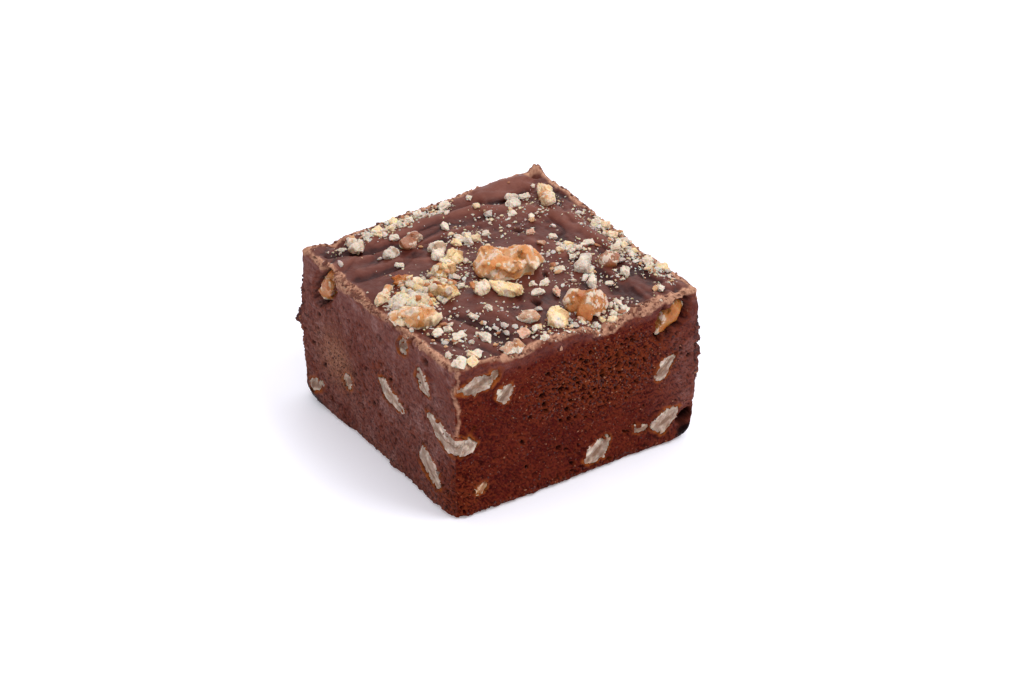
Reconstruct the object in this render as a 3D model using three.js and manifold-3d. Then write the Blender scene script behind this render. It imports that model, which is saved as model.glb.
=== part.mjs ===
// A square of chocolate walnut fudge: a cut block whose top was spread in folds and strewn with chopped
// walnuts, and whose sides show the walnut pieces that the knife went through.
// Millimetres, +Z up, origin at the middle of the underside. The front is -Y and the left is -X.
import * as THREE from "three";
import { ConvexGeometry } from "three/addons/geometries/ConvexGeometry.js";
import { mergeVertices } from "three/addons/utils/BufferGeometryUtils.js";
import Module from "manifold-3d";

const wasm = await Module();
wasm.setup();

// Driving dimensions
const SIDE = 50; // length and width of the block
const HEIGHT = 29.6; // underside to the level of the spread top
const HALF = SIDE / 2;
const GAP = 0.3; // clear space between a walnut piece and its bed
const PROUD = 0.12; // how far a cut walnut stands out of the fudge around it
const KNIFE_ROOM = 0.3; // how far a piece on the top may reach past the cut sides
const PLAN_RADIUS = 1.3; // the upright edges
const WORN_FOOT = { radius: 1.7, height: 11 }; // how much rounder the front left edge is towards its foot
const TOP_RADIUS = 0.7; // the cut edge round the top
const FOOT_RADIUS = { left: 1.1, front: 1.3, right: 5.0, back: 4.6 }; // where each side turns under
const CELLS_ALONG = 24;
const CELLS_UP = 8;
const TRIM = 0.6; // the block is drawn this far below its underside and cut off level there
const ROUGHNESS_OF_SIDES = 0.28; // how far the cut sides waver
const UNDULATION = 0.32; // how far the top rolls between its folds

const COLOURS = { fudge: 0x6b4038, walnut: 0xcfb58a, skin: 0xb9794a };

// How far the top lies above HEIGHT at its four corners.
const CORNER_RISE = { frontLeft: 0.1, frontRight: -0.2, backLeft: -0.7, backRight: 0.9 };

// Folds left by the spreading knife. Each runs between two points of the top and bows sideways; a
// negative rise is a crease.
const FOLDS = [
  { from: [-14, 19.6], to: [9, 17.6], bow: 1.6, width: 1.5, rise: 0.62 },
  { from: [7, 18.2], to: [19.5, 7], bow: 2.4, width: 1.5, rise: 0.5 },
  { from: [18.8, 9], to: [19.6, -5], bow: 0.8, width: 1.3, rise: 0.55 },
  { from: [11, 22.3], to: [19.5, 21.6], bow: 0.9, width: 2.2, rise: 0.9 },
  { from: [9.5, 20.2], to: [18.5, 18.8], bow: -0.7, width: 0.8, rise: -0.75 },
  { from: [-22, 20.2], to: [-17.4, 18.2], bow: 0.3, width: 0.7, rise: -0.8 },
  { from: [-18, 17.6], to: [-11, 17.4], bow: -0.4, width: 0.7, rise: -0.55 },
  { from: [-23, 16.2], to: [-14, 15.2], bow: 0.5, width: 1.2, rise: 0.4 },
  { from: [-22, 10.6], to: [-12, 10.4], bow: -0.8, width: 0.9, rise: -0.45 },
  { from: [-20, 12.6], to: [-9, 9.2], bow: 0.6, width: 1.2, rise: 0.35 },
  { from: [-15.4, -9], to: [-12.2, -21], bow: 0.7, width: 0.9, rise: -0.5 },
  { from: [-9.4, -10.5], to: [-7.6, -19], bow: 0.5, width: 1.1, rise: 0.4 },
  { from: [13.8, -11.5], to: [11.6, -18.5], bow: 0.4, width: 0.8, rise: -0.5 },
  { from: [19.6, -13.5], to: [20.6, -19.5], bow: -0.4, width: 0.7, rise: -0.6 },
  { from: [14.4, -19], to: [14, -24], bow: 0.3, width: 0.9, rise: -0.4 },
  { from: [9.6, 3.6], to: [11.4, -3], bow: 0.5, width: 1.2, rise: 0.35 },
];

// Places where the top sinks (below 0) or lifts, mostly at its torn edges.
const SWELLS = [
  { at: [5.6, -25], reach: [3.4, 3.2], rise: -2.7 },
  { at: [-18.6, 23.6], reach: [1.7, 2.0], rise: -1.2 },
  { at: [24.4, -10], reach: [3.0, 9.0], rise: -0.7 },
  { at: [22.6, 23.2], reach: [1.1, 1.2], rise: -1.5 },
  { at: [24.6, 24.4], reach: [1.3, 1.5], rise: 1.3 },
  { at: [-12, -25], reach: [4.5, 2.4], rise: -0.9 },
  { at: [-25, 2], reach: [2.2, 6.0], rise: -0.7 },
];

// The upright sides. u runs to the right and z up, seen from outside.
const SIDES = {
  front: { out: [0, -1], along: [1, 0] },
  left: { out: [-1, 0], along: [0, -1] },
  right: { out: [1, 0], along: [0, 1] },
  back: { out: [0, 1], along: [-1, 0] },
};

// Places where a side bulges out (or in, below 0).
const BULGES = [
  { side: "left", at: [-20.5, 1.7], reach: [5.5, 1.5], out: 0.8 },
  { side: "front", at: [22.6, 1.8], reach: [3.2, 1.6], out: 0.8 },
  { side: "front", at: [22.4, 4.2], reach: [1.5, 1.0], out: -0.8 },
  { side: "front", at: [-4, 1.2], reach: [16, 2.4], out: 0.5 },
  { side: "left", at: [-22, 14], reach: [4, 7], out: 0.5 },
  { side: "right", at: [-21, 16.5], reach: [5, 6], out: 0.6 },
  { side: "back", at: [20, 16], reach: [6, 8], out: 0.6 },
  { side: "left", at: [-22, 27], reach: [5, 3], out: -0.5 },
];

// Walnut pieces lying in the top: place of the middle, [length, width, height], turn of the length.
// skin marks a piece that shows mostly its brown skin.
const TOP_PIECES = [
  { name: "top_walnut_middle", at: [1.1, -1.2], size: [11.2, 9.2, 5.8], turn: -34, lobes: 4, skin: true },
  { name: "top_walnut_left_edge", at: [-21.4, -7.3], size: [9, 5.4, 4.2], turn: -22, lobes: 3 },
  { name: "top_walnut_front", at: [4.6, -19.8], size: [7, 5.2, 4.6], turn: -38, lobes: 3, skin: true },
  { name: "top_walnut_front_yellow", at: [-1.6, -20.4], size: [4.4, 3.9, 3.1], turn: 28, lobes: 1 },
  { name: "top_walnut_front_pale", at: [-5.6, -17.6], size: [4.4, 3, 2.2], turn: -35, lobes: 1 },
  { name: "top_walnut_wedge", at: [-3, -8], size: [6.8, 3.8, 2.8], turn: -62, lobes: 1 },
  { name: "top_walnut_wedge_side", at: [-7, -5.4], size: [3.5, 2.9, 2.3], turn: 15, lobes: 1 },
  { name: "top_walnut_heap", at: [-12.6, -2.1], size: [5.8, 4.2, 3], turn: -58, lobes: 2 },
  { name: "top_walnut_long", at: [-8.8, 3.3], size: [5.6, 3.3, 2.7], turn: 34, lobes: 2 },
  { name: "top_walnut_long_end", at: [-4.9, 6.2], size: [4, 3, 2.5], turn: 58, lobes: 1 },
  { name: "top_walnut_white", at: [-6.3, 10], size: [4.8, 3.3, 2.6], turn: 60, lobes: 2 },
  { name: "top_walnut_sliver", at: [-21.2, 2.6], size: [7, 2.2, 2.2], turn: 42, lobes: 2 },
  { name: "top_walnut_amber", at: [-16.2, 5.2], size: [4.2, 1.9, 2], turn: 12, lobes: 1, skin: true },
  { name: "top_walnut_cream", at: [-15.2, 2.2], size: [3, 2.5, 2.3], turn: -10, lobes: 1 },
  { name: "top_walnut_corner", at: [-12.3, -23.4], size: [4.7, 2.9, 2.4], turn: -15, lobes: 1 },
  { name: "top_walnut_grey", at: [12.6, -8], size: [5.8, 3, 2.2], turn: 42, lobes: 2 },
  { name: "top_walnut_grey_slip", at: [10.6, -13], size: [4.6, 1.9, 1.7], turn: 62, lobes: 1 },
  { name: "top_walnut_brown", at: [17.1, -9.2], size: [4.6, 3.6, 2.3], turn: 30, lobes: 2, skin: true },
  { name: "top_walnut_right_slip", at: [16.8, -14.2], size: [4.2, 1.8, 1.6], turn: 65, lobes: 1 },
  { name: "top_walnut_back", at: [20.1, 15.2], size: [7, 3.3, 2.9], turn: 62, lobes: 2 },
  { name: "top_walnut_back_side", at: [14.2, 16.6], size: [4.2, 2.7, 2.1], turn: 55, lobes: 1 },
  { name: "top_walnut_tan", at: [-8, 15.1], size: [5.8, 4, 2.5], turn: 22, lobes: 2, skin: true },
  { name: "top_walnut_tan_side", at: [-12.9, 14.1], size: [4.2, 2.5, 1.9], turn: 30, lobes: 1 },
  { name: "top_walnut_back_left", at: [-16.9, 19.9], size: [5, 2.7, 2.4], turn: 60, lobes: 2 },
];

// Walnut pieces that the knife cut through: side, place of the middle, [length, width, depth], turn.
// inset sinks a piece into a hollow behind the cut.
const SIDE_PIECES = [
  {
    name: "left_walnut_hollow", side: "left", at: [-17.2, 25],
    size: [8.8, 4.6, 5], turn: 55, inset: 2.4, skin: true,
  },
  { name: "left_walnut_foot", side: "left", at: [-20.2, 3.9], size: [6.2, 2.6, 4], turn: 14 },
  { name: "left_walnut_round", side: "left", at: [-9.2, 9.7], size: [4, 3.2, 4], turn: 40 },
  { name: "left_walnut_long", side: "left", at: [5.2, 15], size: [9.8, 3.3, 6], turn: -17 },
  { name: "left_walnut_upper", side: "left", at: [15.6, 23], size: [5.6, 3.4, 4], turn: -38 },
  { name: "left_walnut_lower", side: "left", at: [17.4, 7.2], size: [8.6, 4.8, 6], turn: -46 },
  { name: "left_walnut_rim", side: "left", at: [9.5, 27], size: [4, 3.2, 4], turn: 30 },
  { name: "front_left_walnut", side: "left", at: [22.6, 15.6], size: [12.3, 4.2, 8.4], turn: -18 },
  { name: "front_walnut_upper", side: "front", at: [-20.1, 25.7], size: [8.8, 3.6, 6], turn: 9 },
  { name: "front_walnut_round", side: "front", at: [-14.7, 22.4], size: [4.4, 3.6, 4], turn: 35 },
  { name: "front_walnut_lower", side: "front", at: [3.6, 4.1], size: [6.6, 4.2, 5], turn: 28 },
  { name: "front_walnut_foot", side: "front", at: [18.4, 5.2], size: [6.8, 3.8, 5], turn: 22 },
  { name: "front_walnut_slip", side: "front", at: [12.5, 5.3], size: [4, 1.9, 3], turn: -8 },
  { name: "front_walnut_right", side: "front", at: [17.7, 16.1], size: [6.4, 3.2, 5], turn: 30 },
  {
    name: "front_walnut_hollow", side: "front", at: [19.3, 25.2],
    size: [7.8, 4, 4.6], turn: 42, inset: 2.2, skin: true,
  },
  { name: "front_walnut_chip", side: "front", at: [-20, 5.2], size: [2.6, 2, 2.6], turn: 35 },
  { name: "right_walnut_upper", side: "right", at: [-9, 22], size: [7.6, 3, 5], turn: 20 },
  { name: "right_walnut_long", side: "right", at: [6.5, 13], size: [9, 3.2, 6], turn: -24 },
  { name: "right_walnut_round", side: "right", at: [17.5, 21.5], size: [4.4, 3.4, 4], turn: 50 },
  { name: "right_walnut_lower", side: "right", at: [-14, 10.5], size: [5.4, 3.4, 4.6], turn: 64 },
  { name: "back_walnut_upper", side: "back", at: [10.5, 21], size: [6.8, 3.6, 5], turn: -32 },
  { name: "back_walnut_long", side: "back", at: [-4.5, 15.5], size: [8.6, 2.8, 6], turn: 12 },
  { name: "back_walnut_round", side: "back", at: [-16.5, 22], size: [4, 3.4, 4], turn: 10 },
  { name: "back_walnut_lower", side: "back", at: [15.5, 9.5], size: [6, 3.2, 5], turn: 40 },
];

// Empty hollows beside the pieces, in the sides and in the top.
const SIDE_HOLLOWS = [
  { side: "left", at: [16, 27.2], size: [2.2, 1.5, 2.4], turn: 20 },
  { side: "left", at: [-13.1, 26.9], size: [3.4, 1.9, 3.4], turn: 75 },
  { side: "front", at: [17.1, 26.9], size: [2.8, 1.2, 3.2], turn: 68 },
  { side: "front", at: [22.9, 4.3], size: [3.4, 1.7, 3], turn: 32 },
];
const TOP_HOLLOWS = [
  { at: [-1.1, -13.2], size: [2.6, 1.3, 1.8], turn: 84 },
  { at: [5.2, -6.9], size: [2.2, 0.9, 1.4], turn: 68 },
  { at: [10, 8.6], size: [2.6, 1.1, 1.2], turn: -55 },
];

// Crumbs of walnut strewn in drifts: a drift is an ellipse with so many crumbs of about one size.
const DRIFTS = [
  { at: [-19.5, -1.6], reach: [4.4, 2.2], turn: -20, count: 11, size: 2.1 },
  { at: [-11, 1.2], reach: [3.6, 1.2], turn: 25, count: 5, size: 1.6 },
  { at: [-8, -3], reach: [2.6, 1.6], turn: -30, count: 4, size: 1.7 },
  { at: [-9, 21.6], reach: [8.6, 1.3], turn: 5, count: 13, size: 2.0 },
  { at: [22.9, -8], reach: [1.5, 9], turn: 0, count: 12, size: 1.9 },
  { at: [0.2, 10.6], reach: [2.4, 1.9], turn: 0, count: 7, size: 1.8 },
  { at: [13.1, -2], reach: [2.2, 1.9], turn: 0, count: 7, size: 1.8 },
  { at: [-21, -23.4], reach: [2.8, 1.1], turn: 8, count: 5, size: 2.1 },
  { at: [7.5, -23], reach: [3.4, 1.1], turn: 0, count: 6, size: 1.7 },
];

// Crumbs that lie by themselves: place, [length, width, height], turn.
const LONE_CRUMBS = [
  { at: [-9.3, -7.6], size: [3.6, 3, 1.2], turn: 0 },
  { at: [-8.7, -21.3], size: [3, 2.3, 1.8], turn: 30 },
  { at: [-14.4, -18.4], size: [3.8, 1.8, 1.3], turn: 74 },
  { at: [-17.8, -15.8], size: [3, 1.9, 1.3], turn: 10 },
  { at: [-20.6, -13.4], size: [2.7, 2, 1.4], turn: 25 },
  { at: [-18.6, -13.2], size: [1.7, 1.4, 1.3], turn: 0 },
  { at: [-18.4, -22.1], size: [2.2, 1.6, 1.1], turn: 70 },
  { at: [-22.9, -20.4], size: [2.2, 1.3, 1.1], turn: 60 },
  { at: [-12.6, -11.8], size: [2.4, 1.2, 1], turn: -65 },
  { at: [-9.3, -11.6], size: [1.9, 1.1, 1], turn: 80 },
  { at: [1.4, -8.6], size: [1.7, 1.3, 1.1], turn: 0 },
  { at: [3.6, -9.2], size: [2.6, 1.6, 1.2], turn: 10 },
  { at: [0.9, -11.2], size: [2.6, 1.6, 1.2], turn: 0 },
  { at: [3.6, -13], size: [2.8, 1.3, 1.4], turn: 66 },
  { at: [8.2, -7], size: [2.4, 1.5, 1], turn: -8 },
  { at: [-17.6, 16.6], size: [2.6, 1.5, 1.3], turn: 20 },
  { at: [-13.6, 10.2], size: [2, 1.2, 1], turn: -30 },
  { at: [-10.2, 14], size: [1.9, 1.3, 1.1], turn: 80 },
  { at: [-6.2, 18.6], size: [2.7, 2.2, 1.6], turn: 60 },
  { at: [-9.6, 18.3], size: [2.2, 1.8, 1.4], turn: 0 },
  { at: [-0.4, 16.4], size: [2.7, 1.5, 1.3], turn: 78 },
  { at: [3.4, 22.6], size: [3, 2.3, 1.7], turn: 30 },
  { at: [8.4, 22.2], size: [1.8, 1.2, 1.2], turn: 75 },
  { at: [4.6, 10.6], size: [1.9, 1.5, 1.3], turn: 0 },
  { at: [11.2, 6.3], size: [2, 1.5, 1.2], turn: 0 },
  { at: [13.3, 2.6], size: [1.7, 1.5, 1.2], turn: 0 },
  { at: [12, 13.6], size: [2.1, 1.6, 1.2], turn: 20 },
  { at: [14.4, 11], size: [1.7, 1.3, 1.1], turn: 60 },
  { at: [17.2, 17.2], size: [2.5, 1.4, 1.4], turn: 0 },
  { at: [22.6, 2.6], size: [2.5, 2.1, 1.5], turn: 0 },
  { at: [17.4, -2.5], size: [2.8, 1.6, 1.2], turn: -10 },
  { at: [20.4, -6.4], size: [2.3, 2, 1.5], turn: 0 },
  { at: [12.4, -5], size: [1.6, 1.3, 1.1], turn: 0 },
  { at: [13.2, -15], size: [1.8, 1.2, 1], turn: -20 },
  { at: [10.2, -21.6], size: [2.4, 1.2, 1.2], turn: 84 },
  { at: [19, -21.6], size: [2, 1.3, 1.1], turn: 70 },
  { at: [-6.2, -20.9], size: [1.8, 1.3, 1.1], turn: 30 },
  { at: [-6.4, -23.9], size: [1.7, 1.2, 1.1], turn: 0 },
];

const POINTS = { crumb: 8, piece: 14, hollow: 9 };
const JITTER = { crumb: 0.34, piece: 0.24, hollow: 0.2 };
const OUTWARD = 0.35; // share of the unevenness that goes outwards
const FULLNESS = 1.12; // a hull cuts inside its points, so they lie this much further out
const SINK = { crumb: 0.3, piece: 0.34 }; // share of a topping's height that lies in the fudge
const GOLDEN_ANGLE = Math.PI * (3 - Math.sqrt(5));

const radians = THREE.MathUtils.degToRad;

// A repeatable stream of draws from 0 to 1.
function drawer(seed) {
  let state = seed >>> 0;
  return () => {
    state = (Math.imul(state, 1664525) + 1013904223) >>> 0;
    return state / 4294967296;
  };
}

// A repeatable value for a whole-number lattice point, from -1 to 1.
function latticeValue(i, j, k) {
  let h = Math.imul(i, 374761393) ^ Math.imul(j, 668265263) ^ Math.imul(k, 2147483647);
  h = Math.imul(h ^ (h >>> 13), 1274126177);
  return ((h ^ (h >>> 16)) >>> 0) / 2147483648 - 1;
}

// Smooth noise over space, from -1 to 1.
function noise(x, y, z) {
  const cell = [x, y, z].map(Math.floor);
  const part = [x, y, z].map((v, n) => THREE.MathUtils.smoothstep(v - cell[n], 0, 1));
  let sum = 0;
  for (let corner = 0; corner < 8; corner++) {
    const bit = [corner & 1, (corner >> 1) & 1, corner >> 2];
    const weight = bit.reduce((w, b, n) => w * (b ? part[n] : 1 - part[n]), 1);
    sum += weight * latticeValue(cell[0] + bit[0], cell[1] + bit[1], cell[2] + bit[2]);
  }
  return sum;
}

// How much one fold adds to the top at a point.
function foldRise(fold, x, y) {
  const dx = fold.to[0] - fold.from[0];
  const dy = fold.to[1] - fold.from[1];
  const length = Math.hypot(dx, dy);
  const t = ((x - fold.from[0]) * dx + (y - fold.from[1]) * dy) / (length * length);
  const inside = THREE.MathUtils.clamp(t, 0, 1);
  const aside = ((y - fold.from[1]) * dx - (x - fold.from[0]) * dy) / length;
  const off = aside - fold.bow * 4 * inside * (1 - inside);
  const beyond = (t - inside) * length;
  return fold.rise * Math.exp(-(off * off + beyond * beyond) / (fold.width * fold.width));
}

// A round or oval bump of height 1 about a point.
function bump(at, reach, x, y) {
  return Math.exp(-(((x - at[0]) / reach[0]) ** 2) - ((y - at[1]) / reach[1]) ** 2);
}

// Height of the spread top above HEIGHT.
function topRelief(x, y) {
  const right = (x + HALF) / SIDE;
  const back = (y + HALF) / SIDE;
  const front = CORNER_RISE.frontLeft * (1 - right) + CORNER_RISE.frontRight * right;
  const rear = CORNER_RISE.backLeft * (1 - right) + CORNER_RISE.backRight * right;
  let rise = front * (1 - back) + rear * back;
  rise += UNDULATION * noise(x / 7.5 + 3.1, y / 5.5 - 1.7, 0.5);
  for (const fold of FOLDS) rise += foldRise(fold, x, y);
  for (const swell of SWELLS) rise += swell.rise * bump(swell.at, swell.reach, x, y);
  return rise;
}

// How far a side stands in from its plane at a height, where it rounds over and where it turns under.
function roundIn(side, z) {
  const foot = FOOT_RADIUS[side];
  if (z < foot) return foot - Math.sqrt(foot * foot - (foot - Math.max(0, z)) ** 2);
  const over = z - (HEIGHT - TOP_RADIUS);
  return over > 0 ? TOP_RADIUS - Math.sqrt(Math.max(0, TOP_RADIUS ** 2 - over ** 2)) : 0;
}

// How far a side bulges out at a place on it.
function bulge(side, u, z) {
  return BULGES.filter((b) => b.side === side).reduce((sum, b) => sum + b.out * bump(b.at, b.reach, u, z), 0);
}

// Heights of the rows of a side, closer together where it turns under.
function rowHeight(share) {
  return (HEIGHT + TRIM) * (0.35 * share * share + 0.65 * share) - TRIM;
}

// Rounds the upright edges: a point of the square plan moves in towards the middle of its corner.
function roundPlan(x, y, z) {
  const wear = THREE.MathUtils.smoothstep(WORN_FOOT.height - z, 0, WORN_FOOT.height);
  const worn = x < 0 && y < 0 ? WORN_FOOT.radius * wear : 0;
  const limit = HALF - PLAN_RADIUS - worn;
  const qx = Math.max(0, Math.abs(x) - limit);
  const qy = Math.max(0, Math.abs(y) - limit);
  if (qx === 0 || qy === 0) return [x, y];
  const shrink = Math.max(qx, qy) / Math.hypot(qx, qy);
  return [Math.sign(x) * (limit + qx * shrink), Math.sign(y) * (limit + qy * shrink)];
}

// The bare block as a closed mesh; extra stands its sides out by that much.
function blockGeometry(extra) {
  const geometry = new THREE.BoxGeometry(SIDE, SIDE, HEIGHT, CELLS_ALONG, CELLS_ALONG, CELLS_UP);
  const place = geometry.getAttribute("position");
  for (let n = 0; n < place.count; n++) {
    const x = place.getX(n);
    const y = place.getY(n);
    const share = THREE.MathUtils.clamp(place.getZ(n) / HEIGHT + 0.5, 0, 1);
    const z = rowHeight(share);
    const [px, py] = roundPlan(x, y, z);
    const low = { x: roundIn("left", z), y: roundIn("front", z) };
    const high = { x: roundIn("right", z), y: roundIn("back", z) };
    let qx = THREE.MathUtils.mapLinear(px, -HALF, HALF, low.x - HALF, HALF - high.x);
    let qy = THREE.MathUtils.mapLinear(py, -HALF, HALF, low.y - HALF, HALF - high.y);
    const waver = ROUGHNESS_OF_SIDES * noise(x / 4.5 + 7.7, y / 4.5, z / 3.2);
    if (x <= -HALF) qx -= waver + bulge("left", -y, z) + extra;
    if (x >= HALF) qx += waver + bulge("right", y, z) + extra;
    if (y <= -HALF) qy -= waver + bulge("front", x, z) + extra;
    if (y >= HALF) qy += waver + bulge("back", -x, z) + extra;
    const lift = topRelief(qx, qy) * share ** 5;
    place.setXYZ(n, qx, qy, z + lift);
  }
  return geometry;
}

// A closed three.js geometry as a solid for cutting and joining.
function solidFrom(geometry) {
  const bare = geometry.clone();
  bare.deleteAttribute("normal");
  bare.deleteAttribute("uv");
  const merged = mergeVertices(bare, 1e-4);
  return new wasm.Manifold(
    new wasm.Mesh({
      numProp: 3,
      vertProperties: merged.getAttribute("position").array,
      triVerts: new Uint32Array(merged.index.array),
    }),
  );
}

// A solid back as a three.js geometry.
function geometryFrom(solid) {
  const mesh = solid.getMesh();
  const places = new Float32Array(mesh.numVert * 3);
  for (let n = 0; n < mesh.numVert; n++) {
    for (let axis = 0; axis < 3; axis++) places[n * 3 + axis] = mesh.vertProperties[n * mesh.numProp + axis];
  }
  const geometry = new THREE.BufferGeometry();
  geometry.setAttribute("position", new THREE.BufferAttribute(places, 3));
  geometry.setIndex(new THREE.BufferAttribute(mesh.triVerts, 1));
  geometry.computeVertexNormals();
  return geometry;
}

// Points of one rough lump about the origin, evenly spread and unevenly far out.
function lumpPoints(halves, count, jitter, draw) {
  const points = [];
  for (let n = 0; n < count; n++) {
    const z = 1 - (2 * (n + 0.5)) / count;
    const ring = Math.sqrt(1 - z * z);
    const out = FULLNESS * (1 + jitter * (OUTWARD - draw()));
    const angle = GOLDEN_ANGLE * n;
    points.push(
      new THREE.Vector3(
        halves[0] * out * ring * Math.cos(angle),
        halves[1] * out * ring * Math.sin(angle),
        halves[2] * out * z,
      ),
    );
  }
  return points;
}

// The lumps that make up a broken piece, each a list of points; grow makes it that much larger all round.
function pieceLumps(size, lobes, seed, grow) {
  const draw = drawer(seed);
  const share = lobes === 1 ? 1 : 0.42 + 0.5 / lobes;
  const lumps = [];
  for (let n = 0; n < lobes; n++) {
    const along = lobes === 1 ? 0 : (n / (lobes - 1) - 0.5) * (1 - share);
    const halves = [
      (size[0] / 2) * share + grow,
      (size[1] / 2) * (lobes === 1 ? 1 : 0.78 + 0.2 * draw()) + grow,
      (size[2] / 2) * (lobes === 1 ? 1 : 0.76 + 0.24 * draw()) + grow,
    ];
    const aside = lobes === 1 ? 0 : (draw() - 0.5) * 0.22 * size[1];
    const points = lumpPoints(halves, POINTS.piece, JITTER.piece, draw);
    lumps.push(points.map((p) => p.add(new THREE.Vector3(along * size[0], aside, 0))));
  }
  return lumps;
}

// Where a topping sits: turned about the upright and sunk a little into the top.
function topMatrix(at, height, sink, turn) {
  const level = HEIGHT + topRelief(at[0], at[1]) + height * (0.5 - sink);
  const matrix = new THREE.Matrix4().makeRotationZ(radians(turn));
  return matrix.setPosition(at[0], at[1], level);
}

// Where something sits in a side: its length turned in the side's plane, its depth pointing outwards.
function sideMatrix(side, at, turn, inset) {
  const { out, along } = SIDES[side];
  const outwards = new THREE.Vector3(out[0], out[1], 0);
  const sideways = new THREE.Vector3(along[0], along[1], 0);
  const matrix = new THREE.Matrix4().makeBasis(sideways, new THREE.Vector3(0, 0, 1), outwards);
  matrix.multiply(new THREE.Matrix4().makeRotationZ(radians(turn)));
  const middle = sideways.multiplyScalar(at[0]).addScaledVector(outwards, HALF - inset);
  return matrix.setPosition(middle.x, middle.y, at[1]);
}

// One convex solid round some points, placed by a matrix.
function hullSolid(points, matrix) {
  return solidFrom(new ConvexGeometry(points.map((p) => p.clone().applyMatrix4(matrix))));
}

// A piece in its place, as one solid.
function pieceSolid(piece, matrix, seed, grow) {
  const lumps = pieceLumps(piece.size, piece.lobes ?? 1, seed, grow);
  return lumps.map((points) => hullSolid(points, matrix)).reduce((sum, lump) => sum.add(lump));
}

// The bed of a piece set back in a side: the piece and the way out in front of it.
function openBed(piece, matrix, seed) {
  const [points] = pieceLumps(piece.size, 1, seed, GAP);
  const ahead = points.map((p) => p.clone().add(new THREE.Vector3(0, 0, piece.inset + 2)));
  return hullSolid([...points, ...ahead], matrix);
}

// A crumb of walnut lying on the top.
function crumbSolid(size, at, turn, seed) {
  const halves = size.map((s) => s / 2);
  const points = lumpPoints(halves, POINTS.crumb, JITTER.crumb, drawer(seed));
  return hullSolid(points, topMatrix(at, size[2], SINK.crumb, turn));
}

// Every crumb of every drift, and the lone ones.
function crumbs() {
  const made = LONE_CRUMBS.map((crumb, n) => ({ ...crumb, seed: 900 + n }));
  DRIFTS.forEach((drift, k) => {
    const draw = drawer(40 + k);
    const [c, s] = [Math.cos(radians(drift.turn)), Math.sin(radians(drift.turn))];
    for (let n = 0; n < drift.count; n++) {
      const angle = GOLDEN_ANGLE * n;
      const out = Math.sqrt((n + 0.5) / drift.count) * (0.85 + 0.3 * draw());
      const u = drift.reach[0] * out * Math.cos(angle);
      const v = drift.reach[1] * out * Math.sin(angle);
      const at = [drift.at[0] + u * c - v * s, drift.at[1] + u * s + v * c];
      const length = drift.size * (0.75 + 0.6 * draw());
      const size = [length, length * (0.6 + 0.3 * draw()), length * (0.5 + 0.25 * draw())];
      made.push({ at, size, turn: 360 * draw(), seed: 2000 + 50 * k + n });
    }
  });
  return made;
}

// The bare block as a solid, cut off level at its underside.
function blockSolid(extra) {
  const above = new THREE.BoxGeometry(2 * SIDE, 2 * SIDE, 2 * HEIGHT).translate(0, 0, HEIGHT);
  return solidFrom(blockGeometry(extra)).intersect(solidFrom(above));
}

// The upright prism that the knife left: nothing on the top reaches past it.
function knifeLimits() {
  const across = SIDE + 2 * KNIFE_ROOM;
  const box = new THREE.BoxGeometry(across, across, 3 * HEIGHT);
  return solidFrom(box.translate(0, 0, HEIGHT));
}

// The pieces in the top, each kept clear of those before it.
function topPieces(limits) {
  const made = [];
  let taken = null;
  TOP_PIECES.forEach((piece, n) => {
    const matrix = topMatrix(piece.at, piece.size[2], SINK.piece, piece.turn);
    let solid = pieceSolid(piece, matrix, 100 + n, 0).intersect(limits);
    if (taken) solid = solid.subtract(taken);
    const bed = pieceSolid(piece, matrix, 100 + n, GAP);
    taken = taken ? taken.add(bed) : bed;
    made.push({ ...piece, solid: largest(solid), bed });
  });
  return made;
}

// The pieces in the sides, cut flush with the block.
function sidePieces(standing) {
  return SIDE_PIECES.map((piece, n) => {
    const matrix = sideMatrix(piece.side, piece.at, piece.turn, piece.inset ?? 0);
    const solid = pieceSolid(piece, matrix, 300 + n, 0).intersect(standing);
    const bed = piece.inset ? openBed(piece, matrix, 300 + n) : pieceSolid(piece, matrix, 300 + n, GAP);
    return { ...piece, solid: largest(solid), bed };
  });
}

// The largest of the bodies that a cut leaves.
function largest(solid) {
  return solid.decompose().reduce((best, body) => (body.volume() > best.volume() ? body : best));
}

// The empty hollows as solids to take away.
function hollows() {
  const shape = (hollow, n) =>
    lumpPoints(hollow.size.map((s) => s / 2), POINTS.hollow, JITTER.hollow, drawer(700 + n));
  const inSides = SIDE_HOLLOWS.map((h, n) => hullSolid(shape(h, n), sideMatrix(h.side, h.at, h.turn, 0)));
  const inTop = TOP_HOLLOWS.map((h, n) => hullSolid(shape(h, n + 10), topMatrix(h.at, 0, 0, h.turn)));
  return [...inSides, ...inTop];
}

// A crumb stays off the beds of the larger pieces.
function clearOf(beds, solid) {
  return beds.every((bed) => bed.intersect(solid).isEmpty());
}

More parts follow.
